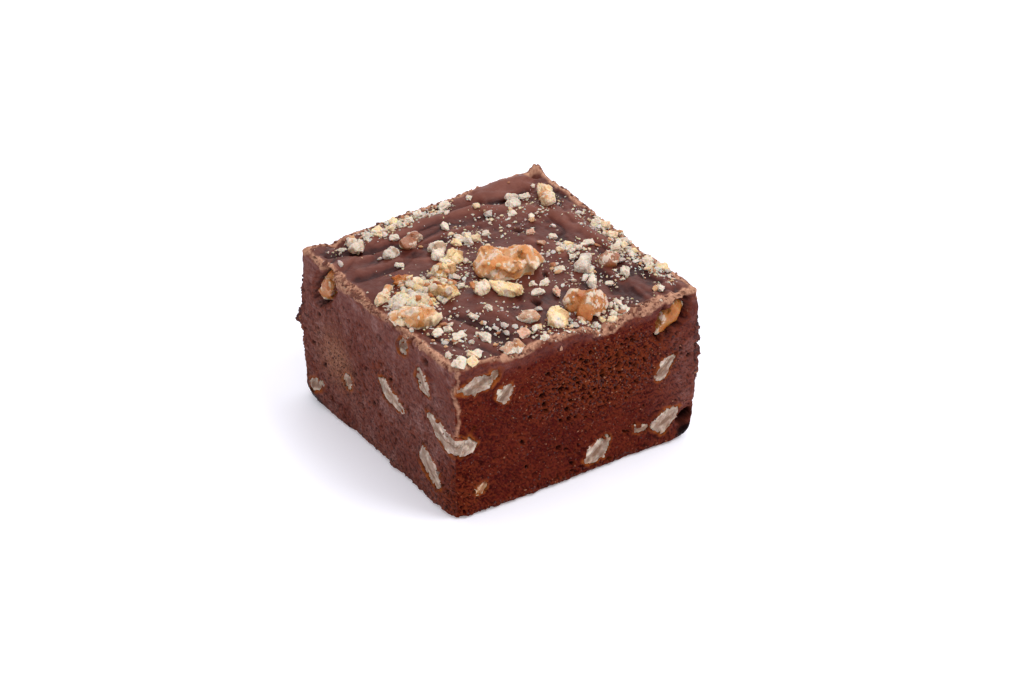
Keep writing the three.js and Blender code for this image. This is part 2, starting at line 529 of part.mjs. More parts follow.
function part() {
  const group = new THREE.Group();
  const finish = (colour) => new THREE.MeshStandardMaterial({ color: colour, roughness: 0.6, metalness: 0 });
  const materials = {
    fudge: finish(COLOURS.fudge),
    walnut: finish(COLOURS.walnut),
    skin: finish(COLOURS.skin),
  };
  const addMesh = (name, solid, material) => {
    const mesh = new THREE.Mesh(geometryFrom(solid), material);
    mesh.name = name;
    group.add(mesh);
  };

  const limits = knifeLimits();
  const onTop = topPieces(limits);
  const inSides = sidePieces(blockSolid(PROUD));
  const beds = [...onTop, ...inSides].map((piece) => piece.bed);
  const strewn = crumbs()
    .map((c) => crumbSolid(c.size, c.at, c.turn, c.seed))
    .filter((solid) => clearOf(beds, solid));

  let block = blockSolid(0);
  for (const crumb of strewn) block = block.add(crumb.intersect(limits));
  for (const bed of beds) block = block.subtract(bed);
  for (const hollow of hollows()) block = block.subtract(hollow);
  addMesh("fudge_block", largest(block), materials.fudge);
  for (const piece of [...onTop, ...inSides]) {
    addMesh(piece.name, piece.solid, piece.skin ? materials.skin : materials.walnut);
  }
  return group;
}

export default part();
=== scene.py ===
"""Chocolate walnut fudge: one cut square with a spread, folded top strewn with chopped walnuts.

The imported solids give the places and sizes, and this script dresses them. The fudge gets its fine folds, its
torn rim, its pits and its grain. Each walnut piece gets its broken faces and its skin. The crumbs are strewn
over the top, and a few cling to the sides.
Lengths are in millimetres until a mesh is finished, and in metres from there on.
"""

import logging
import math
from collections.abc import Callable, Iterable
from dataclasses import dataclass, field
from enum import Enum

import bmesh
import bpy
import numpy as np
from mathutils import Matrix, Vector
from mathutils.bvhtree import BVHTree


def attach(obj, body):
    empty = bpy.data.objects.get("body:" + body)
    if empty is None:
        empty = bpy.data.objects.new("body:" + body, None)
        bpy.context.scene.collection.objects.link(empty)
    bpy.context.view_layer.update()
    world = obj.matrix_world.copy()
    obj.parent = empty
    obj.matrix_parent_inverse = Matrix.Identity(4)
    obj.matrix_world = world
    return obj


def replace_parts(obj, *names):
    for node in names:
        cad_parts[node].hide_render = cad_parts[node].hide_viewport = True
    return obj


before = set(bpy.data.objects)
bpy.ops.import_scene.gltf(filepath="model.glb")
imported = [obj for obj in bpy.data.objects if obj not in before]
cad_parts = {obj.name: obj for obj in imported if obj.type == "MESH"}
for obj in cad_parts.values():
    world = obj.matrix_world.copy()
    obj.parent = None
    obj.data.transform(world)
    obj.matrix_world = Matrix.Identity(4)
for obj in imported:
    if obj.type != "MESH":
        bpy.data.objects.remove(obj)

LOG = logging.getLogger("fudge")
MM = 0.001
SIDE = 50.0
HALF = SIDE / 2
HEIGHT = 29.6
BODY = "root"
GOLDEN_ANGLE = math.pi * (3 - math.sqrt(5))
ON_FACE = 0.4999
CORNER_WALNUT = "front_left_walnut"

Array = np.ndarray
Pair = tuple[float, float]
Triple = tuple[float, float, float]
Colour = Triple


def srgb(red: int, green: int, blue: int) -> Colour:
    """A colour given as it looks on a screen, from 0 to 255, as linear light."""
    shares = (red / 255, green / 255, blue / 255)
    return tuple(s / 12.92 if s <= 0.04045 else ((s + 0.055) / 1.055) ** 2.4 for s in shares)


def smoothstep(low: float, high: float, value: Array) -> Array:
    """Rises smoothly from 0 at low to 1 at high, or falls where low is above high."""
    t = np.clip((value - low) / (high - low), 0.0, 1.0)
    return t * t * (3 - 2 * t)


def bump(at: Pair, reach: Pair, x: Array, y: Array) -> Array:
    """A round or oval swell of height 1 about a point."""
    return np.exp(-(((x - at[0]) / reach[0]) ** 2) - ((y - at[1]) / reach[1]) ** 2)


def lattice_value(i: Array, j: Array, k: Array) -> Array:
    """A repeatable value from -1 to 1 for each whole-number lattice point.

    Args:
        i, j, k: Whole numbers, of any sign.

    Returns:
        The values, the same as those that the solids were shaped with.
    """
    bits = [np.bitwise_and(n.astype(np.int64), 0xFFFFFFFF).astype(np.uint32) for n in (i, j, k)]
    factors = (374761393, 668265263, 2147483647)
    first, second, third = (row * np.uint32(factor) for row, factor in zip(bits, factors))
    mixed = first ^ second ^ third
    mixed = (mixed ^ (mixed >> np.uint32(13))) * np.uint32(1274126177)
    return (mixed ^ (mixed >> np.uint32(16))) / 2147483648.0 - 1.0


def noise(x: Array, y: Array, z: Array) -> Array:
    """Smooth noise over space.

    Args:
        x, y, z: The places, in lattice steps.

    Returns:
        The noise at each place, from -1 to 1.
    """
    place = np.stack(np.broadcast_arrays(x, y, z)).astype(float)
    cell = np.floor(place)
    part = place - cell
    part = part * part * (3 - 2 * part)
    total = np.zeros(place.shape[1:])
    for corner in range(8):
        bit = (corner & 1, (corner >> 1) & 1, corner >> 2)
        weight = np.ones_like(total)
        for axis in range(3):
            weight = weight * (part[axis] if bit[axis] else 1 - part[axis])
        total += weight * lattice_value(cell[0] + bit[0], cell[1] + bit[1], cell[2] + bit[2])
    return total


def grain(place: Array, size: float, shift: float = 0.0) -> Array:
    """Smooth noise whose lumps are about size across, at rows of points."""
    return noise(place[:, 0] / size + shift, place[:, 1] / size - shift, place[:, 2] / size + 2 * shift)


def ridges(place: Array, size: float, shift: float = 0.0) -> Array:
    """Noise with sharp crests, from 0 in its dips to 1 on its crests."""
    return (1 - np.abs(grain(place, size, shift))) ** 2


def ridged(x: Array, y: Array, z: float) -> Array:
    """Noise over the top with sharp crests, from 0 in its dips to 1 on its crests."""
    return (1 - np.abs(noise(x, y, np.full_like(x, z)))) ** 2


def chips(place: Array, size: float, shift: int = 0) -> tuple[Array, Array]:
    """Broken facets: each chip is a flat that leans its own way.

    Args:
        place: Rows of points.
        size: About how far across a chip is.
        shift: Another whole number gives other chips.

    Returns:
        How far each point stands out of its chip's middle, from about -0.5 to 0.5, and its chip's own tone,
        from 0 to 1.
    """
    scaled = place / size
    cell = np.floor(scaled)
    nearest = np.full(len(place), np.inf)
    lean, tone = np.zeros(len(place)), np.zeros(len(place))
    for n in range(27):
        own = cell + np.array([n % 3 - 1, n // 3 % 3 - 1, n // 9 - 1])
        draws = [lattice_value(own[:, 0] + shift, own[:, 1] + 17 * k, own[:, 2] - 29 * k) for k in range(7)]
        apart = scaled - own - 0.5 - 0.42 * np.column_stack(draws[:3])
        reach = np.einsum("ij,ij->i", apart, apart)
        closer = reach < nearest
        nearest = np.where(closer, reach, nearest)
        own_lean = np.einsum("ij,ij->i", apart, np.column_stack(draws[3:6])) + 0.3 * draws[6]
        lean = np.where(closer, own_lean, lean)
        tone = np.where(closer, 0.5 + 0.5 * draws[6], tone)
    return lean, tone


def drawer(seed: int) -> Callable[[], float]:
    """A repeatable stream of draws, the one that the solids were shaped with.

    Args:
        seed: Another whole number gives other draws.

    Returns:
        A function that gives the next draw, from 0 to 1, each time it is called.
    """
    state = seed & 0xFFFFFFFF

    def draw() -> float:
        nonlocal state
        state = (state * 1664525 + 1013904223) & 0xFFFFFFFF
        return state / 4294967296

    return draw


class Face(Enum):
    """The faces of the block: the way out, and the way to the right seen from outside."""

    FRONT = ((0, -1, 0), (1, 0, 0))
    LEFT = ((-1, 0, 0), (0, -1, 0))
    RIGHT = ((1, 0, 0), (0, 1, 0))
    BACK = ((0, 1, 0), (-1, 0, 0))
    TOP = ((0, 0, 1), (1, 0, 0))

    @property
    def out(self) -> Array:
        """Unit vector out of the face."""
        return np.array(self.value[0], float)

    @property
    def along(self) -> Array:
        """Unit vector to the right, seen from outside."""
        return np.array(self.value[1], float)

    @property
    def rising(self) -> Array:
        """Unit vector up the face, which is backwards on the top."""
        return np.cross(self.out, self.along)

    def flat(self, place: Array) -> tuple[Array, Array]:
        """Places as distances along and up the face."""
        return place @ self.along, place @ self.rising


UPRIGHT = (Face.FRONT, Face.LEFT, Face.RIGHT, Face.BACK)


@dataclass(frozen=True)
class Fold:
    """A fold of the spread top, from one point to another and bowed sideways; below 0 it is a crease."""

    start: Pair
    end: Pair
    bow: float
    width: float
    rise: float

    def height(self, x: Array, y: Array) -> Array:
        """How much it adds to the top.

        Args:
            x, y: Places on the top.

        Returns:
            The fold's height at each place.
        """
        dx, dy = self.end[0] - self.start[0], self.end[1] - self.start[1]
        length = math.hypot(dx, dy)
        t = ((x - self.start[0]) * dx + (y - self.start[1]) * dy) / length**2
        inside = np.clip(t, 0, 1)
        aside = ((y - self.start[1]) * dx - (x - self.start[0]) * dy) / length
        off = aside - self.bow * 4 * inside * (1 - inside)
        beyond = (t - inside) * length
        return self.rise * np.exp(-(off**2 + beyond**2) / self.width**2)


@dataclass(frozen=True)
class Swell:
    """A place where a face stands out by so much, or in, below 0."""

    face: Face
    at: Pair
    reach: Pair
    out: float

    def height(self, u: Array, v: Array) -> Array:
        """How much it adds to the face."""
        return self.out * bump(self.at, self.reach, u, v)


@dataclass(frozen=True)
class Dent:
    """A hollow with an oval mouth in a face: the place of its middle, its size, its turn and its depth."""

    face: Face
    at: Pair
    size: Pair
    turn: float
    depth: float

    def depths(self, place: Array) -> Array:
        """How far the face sinks.

        Args:
            place: Rows of points.

        Returns:
            The depth at each point, with a ragged edge.
        """
        u, v = self.face.flat(place)
        c, s = math.cos(math.radians(self.turn)), math.sin(math.radians(self.turn))
        along = (u - self.at[0]) * c + (v - self.at[1]) * s
        across = (v - self.at[1]) * c - (u - self.at[0]) * s
        span = np.hypot(along / (self.size[0] / 2), across / (self.size[1] / 2))
        near = span < 1.7
        wobble = 0.22 * grain(place[near], 1.0, 5.3) + 0.14 * grain(place[near], 0.45, 2.3)
        depths = np.zeros(len(place))
        depths[near] = self.depth * (1 - smoothstep(0.68, 1.12, span[near] + wobble))
        return depths


@dataclass(frozen=True)
class Patch:
    """An oval patch of a finish on a face: its middle, its reach and how strong it is there."""

    face: Face
    at: Pair
    reach: Pair
    share: float = 1.0

    def strength(self, place: Array) -> Array:
        """How strongly it shows at each place."""
        u, v = self.face.flat(place)
        return self.share * bump(self.at, self.reach, u, v)


@dataclass(frozen=True)
class Drift:
    """An oval patch of a face where crumbs or pits lie: its middle, its reach, its turn and their number."""

    at: Pair
    reach: Pair
    turn: float
    count: int
    size: float = 1.0
    face: Face = Face.TOP

    def spots(self, draw: Callable[[], float]) -> Iterable[Pair]:
        """Places in the patch, closest together in its middle.

        Args:
            draw: The stream of draws to take from.

        Yields:
            Distances along and up the face.
        """
        c, s = math.cos(math.radians(self.turn)), math.sin(math.radians(self.turn))
        for _ in range(self.count):
            out = draw() ** 0.65
            angle = 2 * math.pi * draw()
            u, v = self.reach[0] * out * math.cos(angle), self.reach[1] * out * math.sin(angle)
            yield self.at[0] + u * c - v * s, self.at[1] + u * s + v * c


@dataclass(frozen=True)
class SpreadTop:
    """The spread top's form, as the solid has it."""

    corner_rise: tuple[float, float, float, float] = (0.1, -0.2, -0.7, 0.9)
    undulation: float = 0.32
    folds: tuple[Fold, ...] = (
        Fold((-14, 19.6), (9, 17.6), 1.6, 1.5, 0.62),
        Fold((7, 18.2), (19.5, 7), 2.4, 1.5, 0.5),
        Fold((18.8, 9), (19.6, -5), 0.8, 1.3, 0.55),
        Fold((11, 22.3), (19.5, 21.6), 0.9, 2.2, 0.9),
        Fold((9.5, 20.2), (18.5, 18.8), -0.7, 0.8, -0.75),
        Fold((-22, 20.2), (-17.4, 18.2), 0.3, 0.7, -0.8),
        Fold((-18, 17.6), (-11, 17.4), -0.4, 0.7, -0.55),
        Fold((-23, 16.2), (-14, 15.2), 0.5, 1.2, 0.4),
        Fold((-22, 10.6), (-12, 10.4), -0.8, 0.9, -0.45),
        Fold((-20, 12.6), (-9, 9.2), 0.6, 1.2, 0.35),
        Fold((-15.4, -9), (-12.2, -21), 0.7, 0.9, -0.5),
        Fold((-9.4, -10.5), (-7.6, -19), 0.5, 1.1, 0.4),
        Fold((13.8, -11.5), (11.6, -18.5), 0.4, 0.8, -0.5),
        Fold((19.6, -13.5), (20.6, -19.5), -0.4, 0.7, -0.6),
        Fold((14.4, -19), (14, -24), 0.3, 0.9, -0.4),
        Fold((9.6, 3.6), (11.4, -3), 0.5, 1.2, 0.35),
    )
    swells: tuple[Swell, ...] = (
        Swell(Face.TOP, (5.6, -25), (3.4, 3.2), -2.7),
        Swell(Face.TOP, (-18.6, 23.6), (1.7, 2.0), -1.2),
        Swell(Face.TOP, (24.4, -10), (3.0, 9.0), -0.7),
        Swell(Face.TOP, (22.6, 23.2), (1.1, 1.2), -1.5),
        Swell(Face.TOP, (24.6, 24.4), (1.3, 1.5), 1.3),
        Swell(Face.TOP, (-12, -25), (4.5, 2.4), -0.9),
        Swell(Face.TOP, (-25, 2), (2.2, 6.0), -0.7),
    )

    def relief(self, x: Array, y: Array) -> Array:
        """The top's folds and swells, as the solid has them.

        Args:
            x, y: Places on the top.

        Returns:
            The height above the top's level at each place.
        """
        right, back = (x + HALF) / SIDE, (y + HALF) / SIDE
        front_left, front_right, back_left, back_right = self.corner_rise
        front = front_left * (1 - right) + front_right * right
        rear = back_left * (1 - right) + back_right * right
        rise = front * (1 - back) + rear * back
        rise = rise + self.undulation * noise(x / 7.5 + 3.1, y / 5.5 - 1.7, 0.5)
        for fold in self.folds:
            rise = rise + fold.height(x, y)
        for swell in self.swells:
            rise = rise + swell.height(x, y)
        return rise

    def strokes(self, x: Array, y: Array) -> Array:
        """The fine marks of the spreading knife, which run round the back and down the right side.

        Args:
            x, y: Places on the top.

        Returns:
            The height that the marks add at each place.
        """
        back = smoothstep(5, 13, y - 0.25 * np.abs(x))
        right = smoothstep(9, 15, x) * (1 - back)
        front = smoothstep(-8, -14, y) * (1 - right)
        bow = 0.012 * (x - 2) ** 2
        marks = back * noise(x / 8.5, (y + bow) / 1.45, 3.3)
        marks = marks + right * noise(y / 8.0, (x + 0.01 * y * y) / 1.4, 8.1)
        marks = marks + 0.8 * front * noise((x + 0.28 * y) / 1.5, y / 7.0, 5.9)
        fine = back * noise(x / 5.0, (y + bow) / 0.75, 13.3) + right * noise(y / 5.0, x / 0.75, 18.1)
        rumples = ridged(x / 3.6, y / 2.6, 1.5) - 0.4
        slits = back * ridged(x / 6.0, (y + bow) / 2.2, 21.0) ** 3
        slits = slits + right * ridged(y / 6.0, x / 2.2, 25.0) ** 3
        slits = slits + 0.6 * front * ridged((x + 0.28 * y) / 2.4, y / 6.0, 29.0) ** 3
        return 0.27 * marks + 0.12 * fine + 0.24 * rumples - 0.34 * slits


TOP = SpreadTop()


def level_at(x: float, y: float) -> float:
    """Height of the solid's top at one place."""
    return HEIGHT + float(TOP.relief(np.array([x], float), np.array([y], float))[0])


class Shader:
    """A material's node tree, put together from short calls."""

    def __init__(self, name: str, roughness: float, ior: float = 1.45) -> None:
        """Starts a material.

        Args:
            name: The material's name.
            roughness: How rough the surface is where nothing else says so.
            ior: Index of refraction, which sets the gloss.
        """
        self.material = bpy.data.materials.new(name)
        self.material.use_nodes = True
        self.tree = self.material.node_tree
        self.surface = self.tree.nodes["Principled BSDF"]
        self.surface.inputs["Roughness"].default_value = roughness
        self.surface.inputs["IOR"].default_value = ior
        self.place = self.tree.nodes.new("ShaderNodeTexCoord").outputs["Object"]

    def feed(self, socket: bpy.types.NodeSocket, value: object) -> None:
        """Sets a socket to a value, or links it to another socket."""
        if isinstance(value, bpy.types.NodeSocket):
            self.tree.links.new(value, socket)
        elif isinstance(value, tuple) and len(value) == 3 and socket.type == "RGBA":
            socket.default_value = (*value, 1.0)
        else:
            socket.default_value = value

    def noise(self, size: float, detail: float = 2.0, stretch: Triple = (1, 1, 1)) -> bpy.types.NodeSocket:
        """Noise over the piece.

        Args:
            size: About how many millimetres across its lumps are.
            detail: How many finer layers it has.
            stretch: How much longer the lumps are along each axis.

        Returns:
            The noise, from 0 to 1.
        """
        mapping = self.tree.nodes.new("ShaderNodeMapping")
        self.feed(mapping.inputs["Vector"], self.place)
        mapping.inputs["Scale"].default_value = tuple(1 / s for s in stretch)
        node = self.tree.nodes.new("ShaderNodeTexNoise")
        self.feed(node.inputs["Vector"], mapping.outputs["Vector"])
        node.inputs["Scale"].default_value = 1 / (size * MM)
        node.inputs["Detail"].default_value = detail
        return node.outputs["Fac"]

    def specks(self, size: float) -> bpy.types.NodeSocket:
        """Scattered points.

        Args:
            size: About how many millimetres apart they are.

        Returns:
            How far the nearest of them is, as a share of that.
        """
        node = self.tree.nodes.new("ShaderNodeTexVoronoi")
        self.feed(node.inputs["Vector"], self.place)
        node.inputs["Scale"].default_value = 1 / (size * MM)
        return node.outputs["Distance"]

    def attribute(self, name: str, colour: bool = False) -> bpy.types.NodeSocket:
        """Something that the mesh carries.

        Args:
            name: Its name.
            colour: Whether it is a colour and not a value.

        Returns:
            The value or the colour.
        """
        node = self.tree.nodes.new("ShaderNodeAttribute")
        node.attribute_name = name
        return node.outputs["Color" if colour else "Fac"]

    def between(self, value: object, low: float, high: float) -> bpy.types.NodeSocket:
        """Picks out a range of a value.

        Args:
            value: The value.
            low: Where the result is 0.
            high: Where it is 1, which may be below low.

        Returns:
            The result, which goes smoothly from 0 to 1.
        """
        node = self.tree.nodes.new("ShaderNodeMapRange")
        node.interpolation_type = "SMOOTHSTEP"
        self.feed(node.inputs["Value"], value)
        node.inputs["From Min"].default_value = low
        node.inputs["From Max"].default_value = high
        return node.outputs["Result"]

    def scaled(self, value: object, low: float, high: float) -> bpy.types.NodeSocket:
        """Spreads a value.

        Args:
            value: The value, from 0 to 1.
            low: What 0 becomes.
            high: What 1 becomes.

        Returns:
            The value, from low to high.
        """
        node = self.tree.nodes.new("ShaderNodeMapRange")
        self.feed(node.inputs["Value"], value)
        node.inputs["To Min"].default_value = low
        node.inputs["To Max"].default_value = high
        return node.outputs["Result"]

    def sums(self, operation: str, first: object, second: object) -> bpy.types.NodeSocket:
        """Combines two values.

        Args:
            operation: How, such as ADD or MULTIPLY.
            first: One value.
            second: The other.

        Returns:
            The result.
        """
        node = self.tree.nodes.new("ShaderNodeMath")
        node.operation = operation
        self.feed(node.inputs[0], first)
        self.feed(node.inputs[1], second)
        return node.outputs["Value"]

    def plus(self, first: object, second: object) -> bpy.types.NodeSocket:
        """The sum of two values."""
        return self.sums("ADD", first, second)

    def times(self, first: object, second: object) -> bpy.types.NodeSocket:
        """The product of two values."""
        return self.sums("MULTIPLY", first, second)

    def tinted(self, colour: object, tint: object) -> bpy.types.NodeSocket:
        """A colour multiplied by another."""
        return self.mix(1.0, colour, tint, "MULTIPLY")

    def mix(self, share: object, low: object, high: object, blend: str = "MIX") -> bpy.types.NodeSocket:
        """Mixes two colours.

        Args:
            share: How much of the second there is, from 0 to 1.
            low: The first colour.
            high: The second colour.
            blend: How the second is laid over the first.

        Returns:
            The mixed colour.
        """
        node = self.tree.nodes.new("ShaderNodeMix")
        node.data_type = "RGBA"
        node.blend_type = blend
        self.feed(node.inputs["Factor"], share)
        self.feed(node.inputs["A"], low)
        self.feed(node.inputs["B"], high)
        return node.outputs["Result"]

    def relief(self, height: object, depth: float, under: object = None) -> bpy.types.NodeSocket:
        """Relief finer than the mesh.

        Args:
            height: Its height, from 0 to 1.
            depth: How many millimetres that is.
            under: Another such relief to lay it over.

        Returns:
            The way that the surface faces.
        """
        node = self.tree.nodes.new("ShaderNodeBump")
        node.inputs["Distance"].default_value = depth * MM
        self.feed(node.inputs["Height"], height)
        if under is not None:
            self.feed(node.inputs["Normal"], under)
        return node.outputs["Normal"]

    def finish(self, colour: object, normal: object = None, roughness: object = None) -> bpy.types.Material:
        """Sets what the surface shows.

        Args:
            colour: Its colour.
            normal: Its relief, if any.
            roughness: Its roughness, where that varies.

        Returns:
            The finished material.
        """
        self.feed(self.surface.inputs["Base Color"], colour)
        if normal is not None:
            self.feed(self.surface.inputs["Normal"], normal)
        if roughness is not None:
            self.feed(self.surface.inputs["Roughness"], roughness)
        return self.material


@dataclass(frozen=True)
class CrustFinish:
    """The torn and dried edge that runs round the top."""

    light: Colour = srgb(206, 156, 128)
    deep: Colour = srgb(132, 80, 60)

    def over(self, s: Shader, colour: bpy.types.NodeSocket) -> bpy.types.NodeSocket:
        """Lays the crust over a colour where the mesh says so.

        Args:
            s: The material's shader.
            colour: The colour under it.

        Returns:
            The colour with the crust.
        """
        mottle, fine = s.noise(1.1, 3), s.noise(0.35, 3)
        share = s.times(s.attribute("crust"), s.between(mottle, 0.25, 0.45))
        # Partly painted light: the crust is painted paler on the mesh's crests.
        tone = s.plus(s.scaled(fine, -0.1, 0.7), s.times(s.attribute("crest"), 0.5))
        return s.mix(share, colour, s.mix(tone, self.deep, self.light))


@dataclass(frozen=True)
class SpreadFinish:
    """The spread top: satin, with painted shade that makes it darker and redder in its creases and a painted
    highlight that makes it paler on its crests.
    """

    # Painted light: the crest colour is a painted highlight on the folds' crests, and the crease colour is
    # painted shade in the creases.
    crest: Colour = srgb(120, 69, 56)
    plain: Colour = srgb(94, 44, 33)
    crease_shade: Colour = srgb(54, 16, 12)
    # The dark colour is painted shade in the holes of the top.
    dark: Colour = srgb(22, 5, 4)
    shade: Colour = (0.82, 0.76, 0.74)
    gloss: float = 0.2
    satin: float = 0.44
    dry: float = 0.8
    mottle_relief: float = 0.09
    fine_relief: float = 0.05

    def make(self) -> bpy.types.Material:
        """Makes the material, which reads the zones that the fudge's mesh carries.

        Returns:
            The material of the top.
        """
        s = Shader("chocolate_spread", roughness=self.satin)
        s.surface.inputs["Specular IOR Level"].default_value = self.gloss
        broad, mottle, fine = s.noise(5, 2), s.noise(1.1, 3), s.noise(0.4, 2)
        # Painted light: the hill value paints the creases darker as shade and the crests paler as a highlight.
        hill = s.plus(s.attribute("hill"), s.scaled(mottle, -0.35, 0.35))
        colour = s.mix(s.between(hill, 0.0, 0.5), self.crease_shade, self.plain)
        colour = s.mix(s.between(hill, 0.5, 1.1), colour, self.crest)
        colour = s.mix(s.between(broad, 0.35, 0.7), colour, s.tinted(colour, self.shade))
        colour = CrustFinish().over(s, colour)
        # Painted shade: the holes in the top take the near-black dark colour towards their bottoms.
        colour = s.mix(s.attribute("dark"), colour, self.dark)
        normal = s.relief(fine, self.fine_relief, s.relief(mottle, self.mottle_relief))
        return s.finish(colour, normal, s.scaled(s.attribute("crust"), self.satin, self.dry))


@dataclass(frozen=True)
class CutFinish:
    """The cut sides: torn and sugary, deep red-brown, with a painted purple-brown sheen where the knife
    smoothed them, and painted shade in their pits.
    """

    deep: Colour = srgb(70, 10, 8)
    plain: Colour = srgb(84, 22, 13)
    sugary: Colour = srgb(120, 52, 26)
    # The next two colours are painted sheen: a pale purple veil that stands for the white surroundings
    # reflected off the smoother faces, and lighter painted highlights in it.
    sheen_veil: Colour = srgb(122, 82, 76)
    sheen_highlight: Colour = srgb(156, 122, 118)
    # The pit colour is painted shade in the pits, pores, cracks and hollows.
    pit: Colour = srgb(20, 3, 2)
    seam: Colour = srgb(146, 76, 32)
    crystal: Colour = srgb(160, 110, 86)
    dark_speck: Colour = (0.62, 0.56, 0.52)
    light_speck: Colour = (1.24, 1.22, 1.18)
    smear_stretch: Triple = (3.5, 3.5, 1)
    crack_stretch: Triple = (2.6, 2.6, 1)
    gloss: float = 0.03
    smooth: float = 0.5
    torn: float = 0.78
    grain_relief: float = 0.34
    smear_relief: float = 0.45
    broad_relief: float = 0.05

    def make(self) -> bpy.types.Material:
        """Makes the material, which reads the zones that the fudge's mesh carries.

        Returns:
            The material of the sides and the underside.
        """
        s = Shader("chocolate_cut", roughness=self.torn)
        s.surface.inputs["Specular IOR Level"].default_value = self.gloss
        broad, mottle, fine = s.noise(4.5, 2), s.noise(1.2, 4), s.noise(0.38, 3)
        rough, smear = s.attribute("rough"), s.noise(0.9, 4, self.smear_stretch)
        colour = self.plain_and_sheen(s, s.between(s.plus(broad, s.scaled(mottle, -0.2, 0.2)), 0.42, 0.6), mottle)
        colour = s.mix(s.times(s.between(smear, 0.54, 0.68), 0.32), colour, self.sugary)
        colour = s.mix(s.times(s.between(smear, 0.44, 0.32), 0.45), colour, self.deep)
        colour = self.granular(s, colour, rough, s.plus(fine, s.scaled(mottle, -0.2, 0.2)))
        colour = self.pitted(s, colour, rough, fine)
        crystals = s.times(s.between(s.specks(0.8), 0.16, 0.06), s.between(broad, 0.38, 0.5))
        colour = s.mix(s.times(crystals, s.scaled(rough, 0.25, 0.9)), colour, self.crystal)
        edging = s.scaled(s.between(s.noise(2.4, 3), 0.4, 0.6), 0.15, 1.1)
        colour = s.mix(s.times(s.attribute("seam"), edging), colour, self.seam)
        colour = CrustFinish().over(s, colour)
        # Painted shade: the hollows and air holes, and in part the darker foot, take the near-black pit
        # colour.
        colour = s.mix(s.attribute("dark"), colour, self.pit)
        height = s.times(s.plus(fine, s.scaled(s.noise(0.17, 2), 0, 0.7)), s.scaled(rough, 0.3, 1.0))
        under = s.relief(smear, self.smear_relief, s.relief(s.noise(2.2, 2), self.broad_relief))
        roughness = s.scaled(rough, self.smooth, self.torn)
        roughness = s.sums("SUBTRACT", roughness, s.times(s.attribute("dark"), 0.3))
        return s.finish(colour, s.relief(height, self.grain_relief, under), roughness)

    def plain_and_sheen(self, s: Shader, depth: object, mottle: object) -> bpy.types.NodeSocket:
        """The plain fudge, and over it a painted sheen where the knife smoothed it: a pale purple veil that
        stands for the reflection of the white surroundings, with painted highlights in it.

        Args:
            s: The material's shader.
            depth: Where the fudge is plain and not deep, from 0 to 1.
            mottle: Noise of about a millimetre.

        Returns:
            The colour.
        """
        # Painted sheen: the reflection of the white surroundings is painted into the colour, lighter in
        # patches as painted highlights.
        painted_sheen = s.times(s.attribute("sheen_veil"), s.scaled(s.between(mottle, 0.3, 0.6), 0.55, 1.0))
        sheen_highlight = s.mix(s.times(s.between(s.noise(3.0, 4), 0.48, 0.68), 0.5), self.sheen_veil, self.sheen_highlight)
        return s.mix(painted_sheen, s.mix(depth, self.deep, self.plain), sheen_highlight)

    def granular(self, s: Shader, colour: object, rough: object, fine: object) -> bpy.types.NodeSocket:
        """Speckles the fudge, and lays sugary grains over it where it is torn; its crests are painted a
        lighter orange-brown, partly as sugary grains and partly as a painted highlight.

        Args:
            s: The material's shader.
            colour: The colour under them.
            rough: How rough the surface is, from 0 to 1.
            fine: Noise as fine as the grains.

        Returns:
            The colour.
        """
        sugar = s.attribute("sugary")
        speckle = s.mix(s.between(s.noise(0.5, 4), 0.38, 0.62), self.dark_speck, self.light_speck)
        colour = s.mix(s.scaled(rough, 0.3, 1.0), colour, s.tinted(colour, speckle))
        colour = s.mix(s.times(sugar, s.between(fine, 0.42, 0.6)), colour, self.sugary)
        # Partly painted light: the crests are painted lighter, partly as sugar and partly as a highlight.
        crest = s.times(s.between(s.attribute("crest"), 0.55, 0.95), s.scaled(sugar, 0.2, 0.85))
        return s.mix(crest, colour, self.sugary)

    def pitted(self, s: Shader, colour: object, rough: object, fine: object) -> bpy.types.NodeSocket:
        """Paints shade into the pits, the pores and the short level cracks: the mesh's hollows, and pores and
        cracks drawn from noise, are darkened towards near black.

        Args:
            s: The material's shader.
            colour: The colour under them.
            rough: How rough the surface is, from 0 to 1.
            fine: Noise as fine as the pores.

        Returns:
            The colour.
        """
        # Painted shade: the hollows of the mesh take the pit colour.
        pits = s.times(s.between(s.attribute("crest"), 0.38, 0.05), s.scaled(rough, 0.2, 0.8))
        colour = s.mix(pits, colour, self.pit)
        cracks = s.between(s.noise(0.5, 3, self.crack_stretch), 0.38, 0.3)
        pores = s.sums("MAXIMUM", s.between(fine, 0.36, 0.26), s.times(cracks, 0.9))
        return s.mix(s.times(pores, s.scaled(rough, 0.1, 0.8)), colour, self.pit)


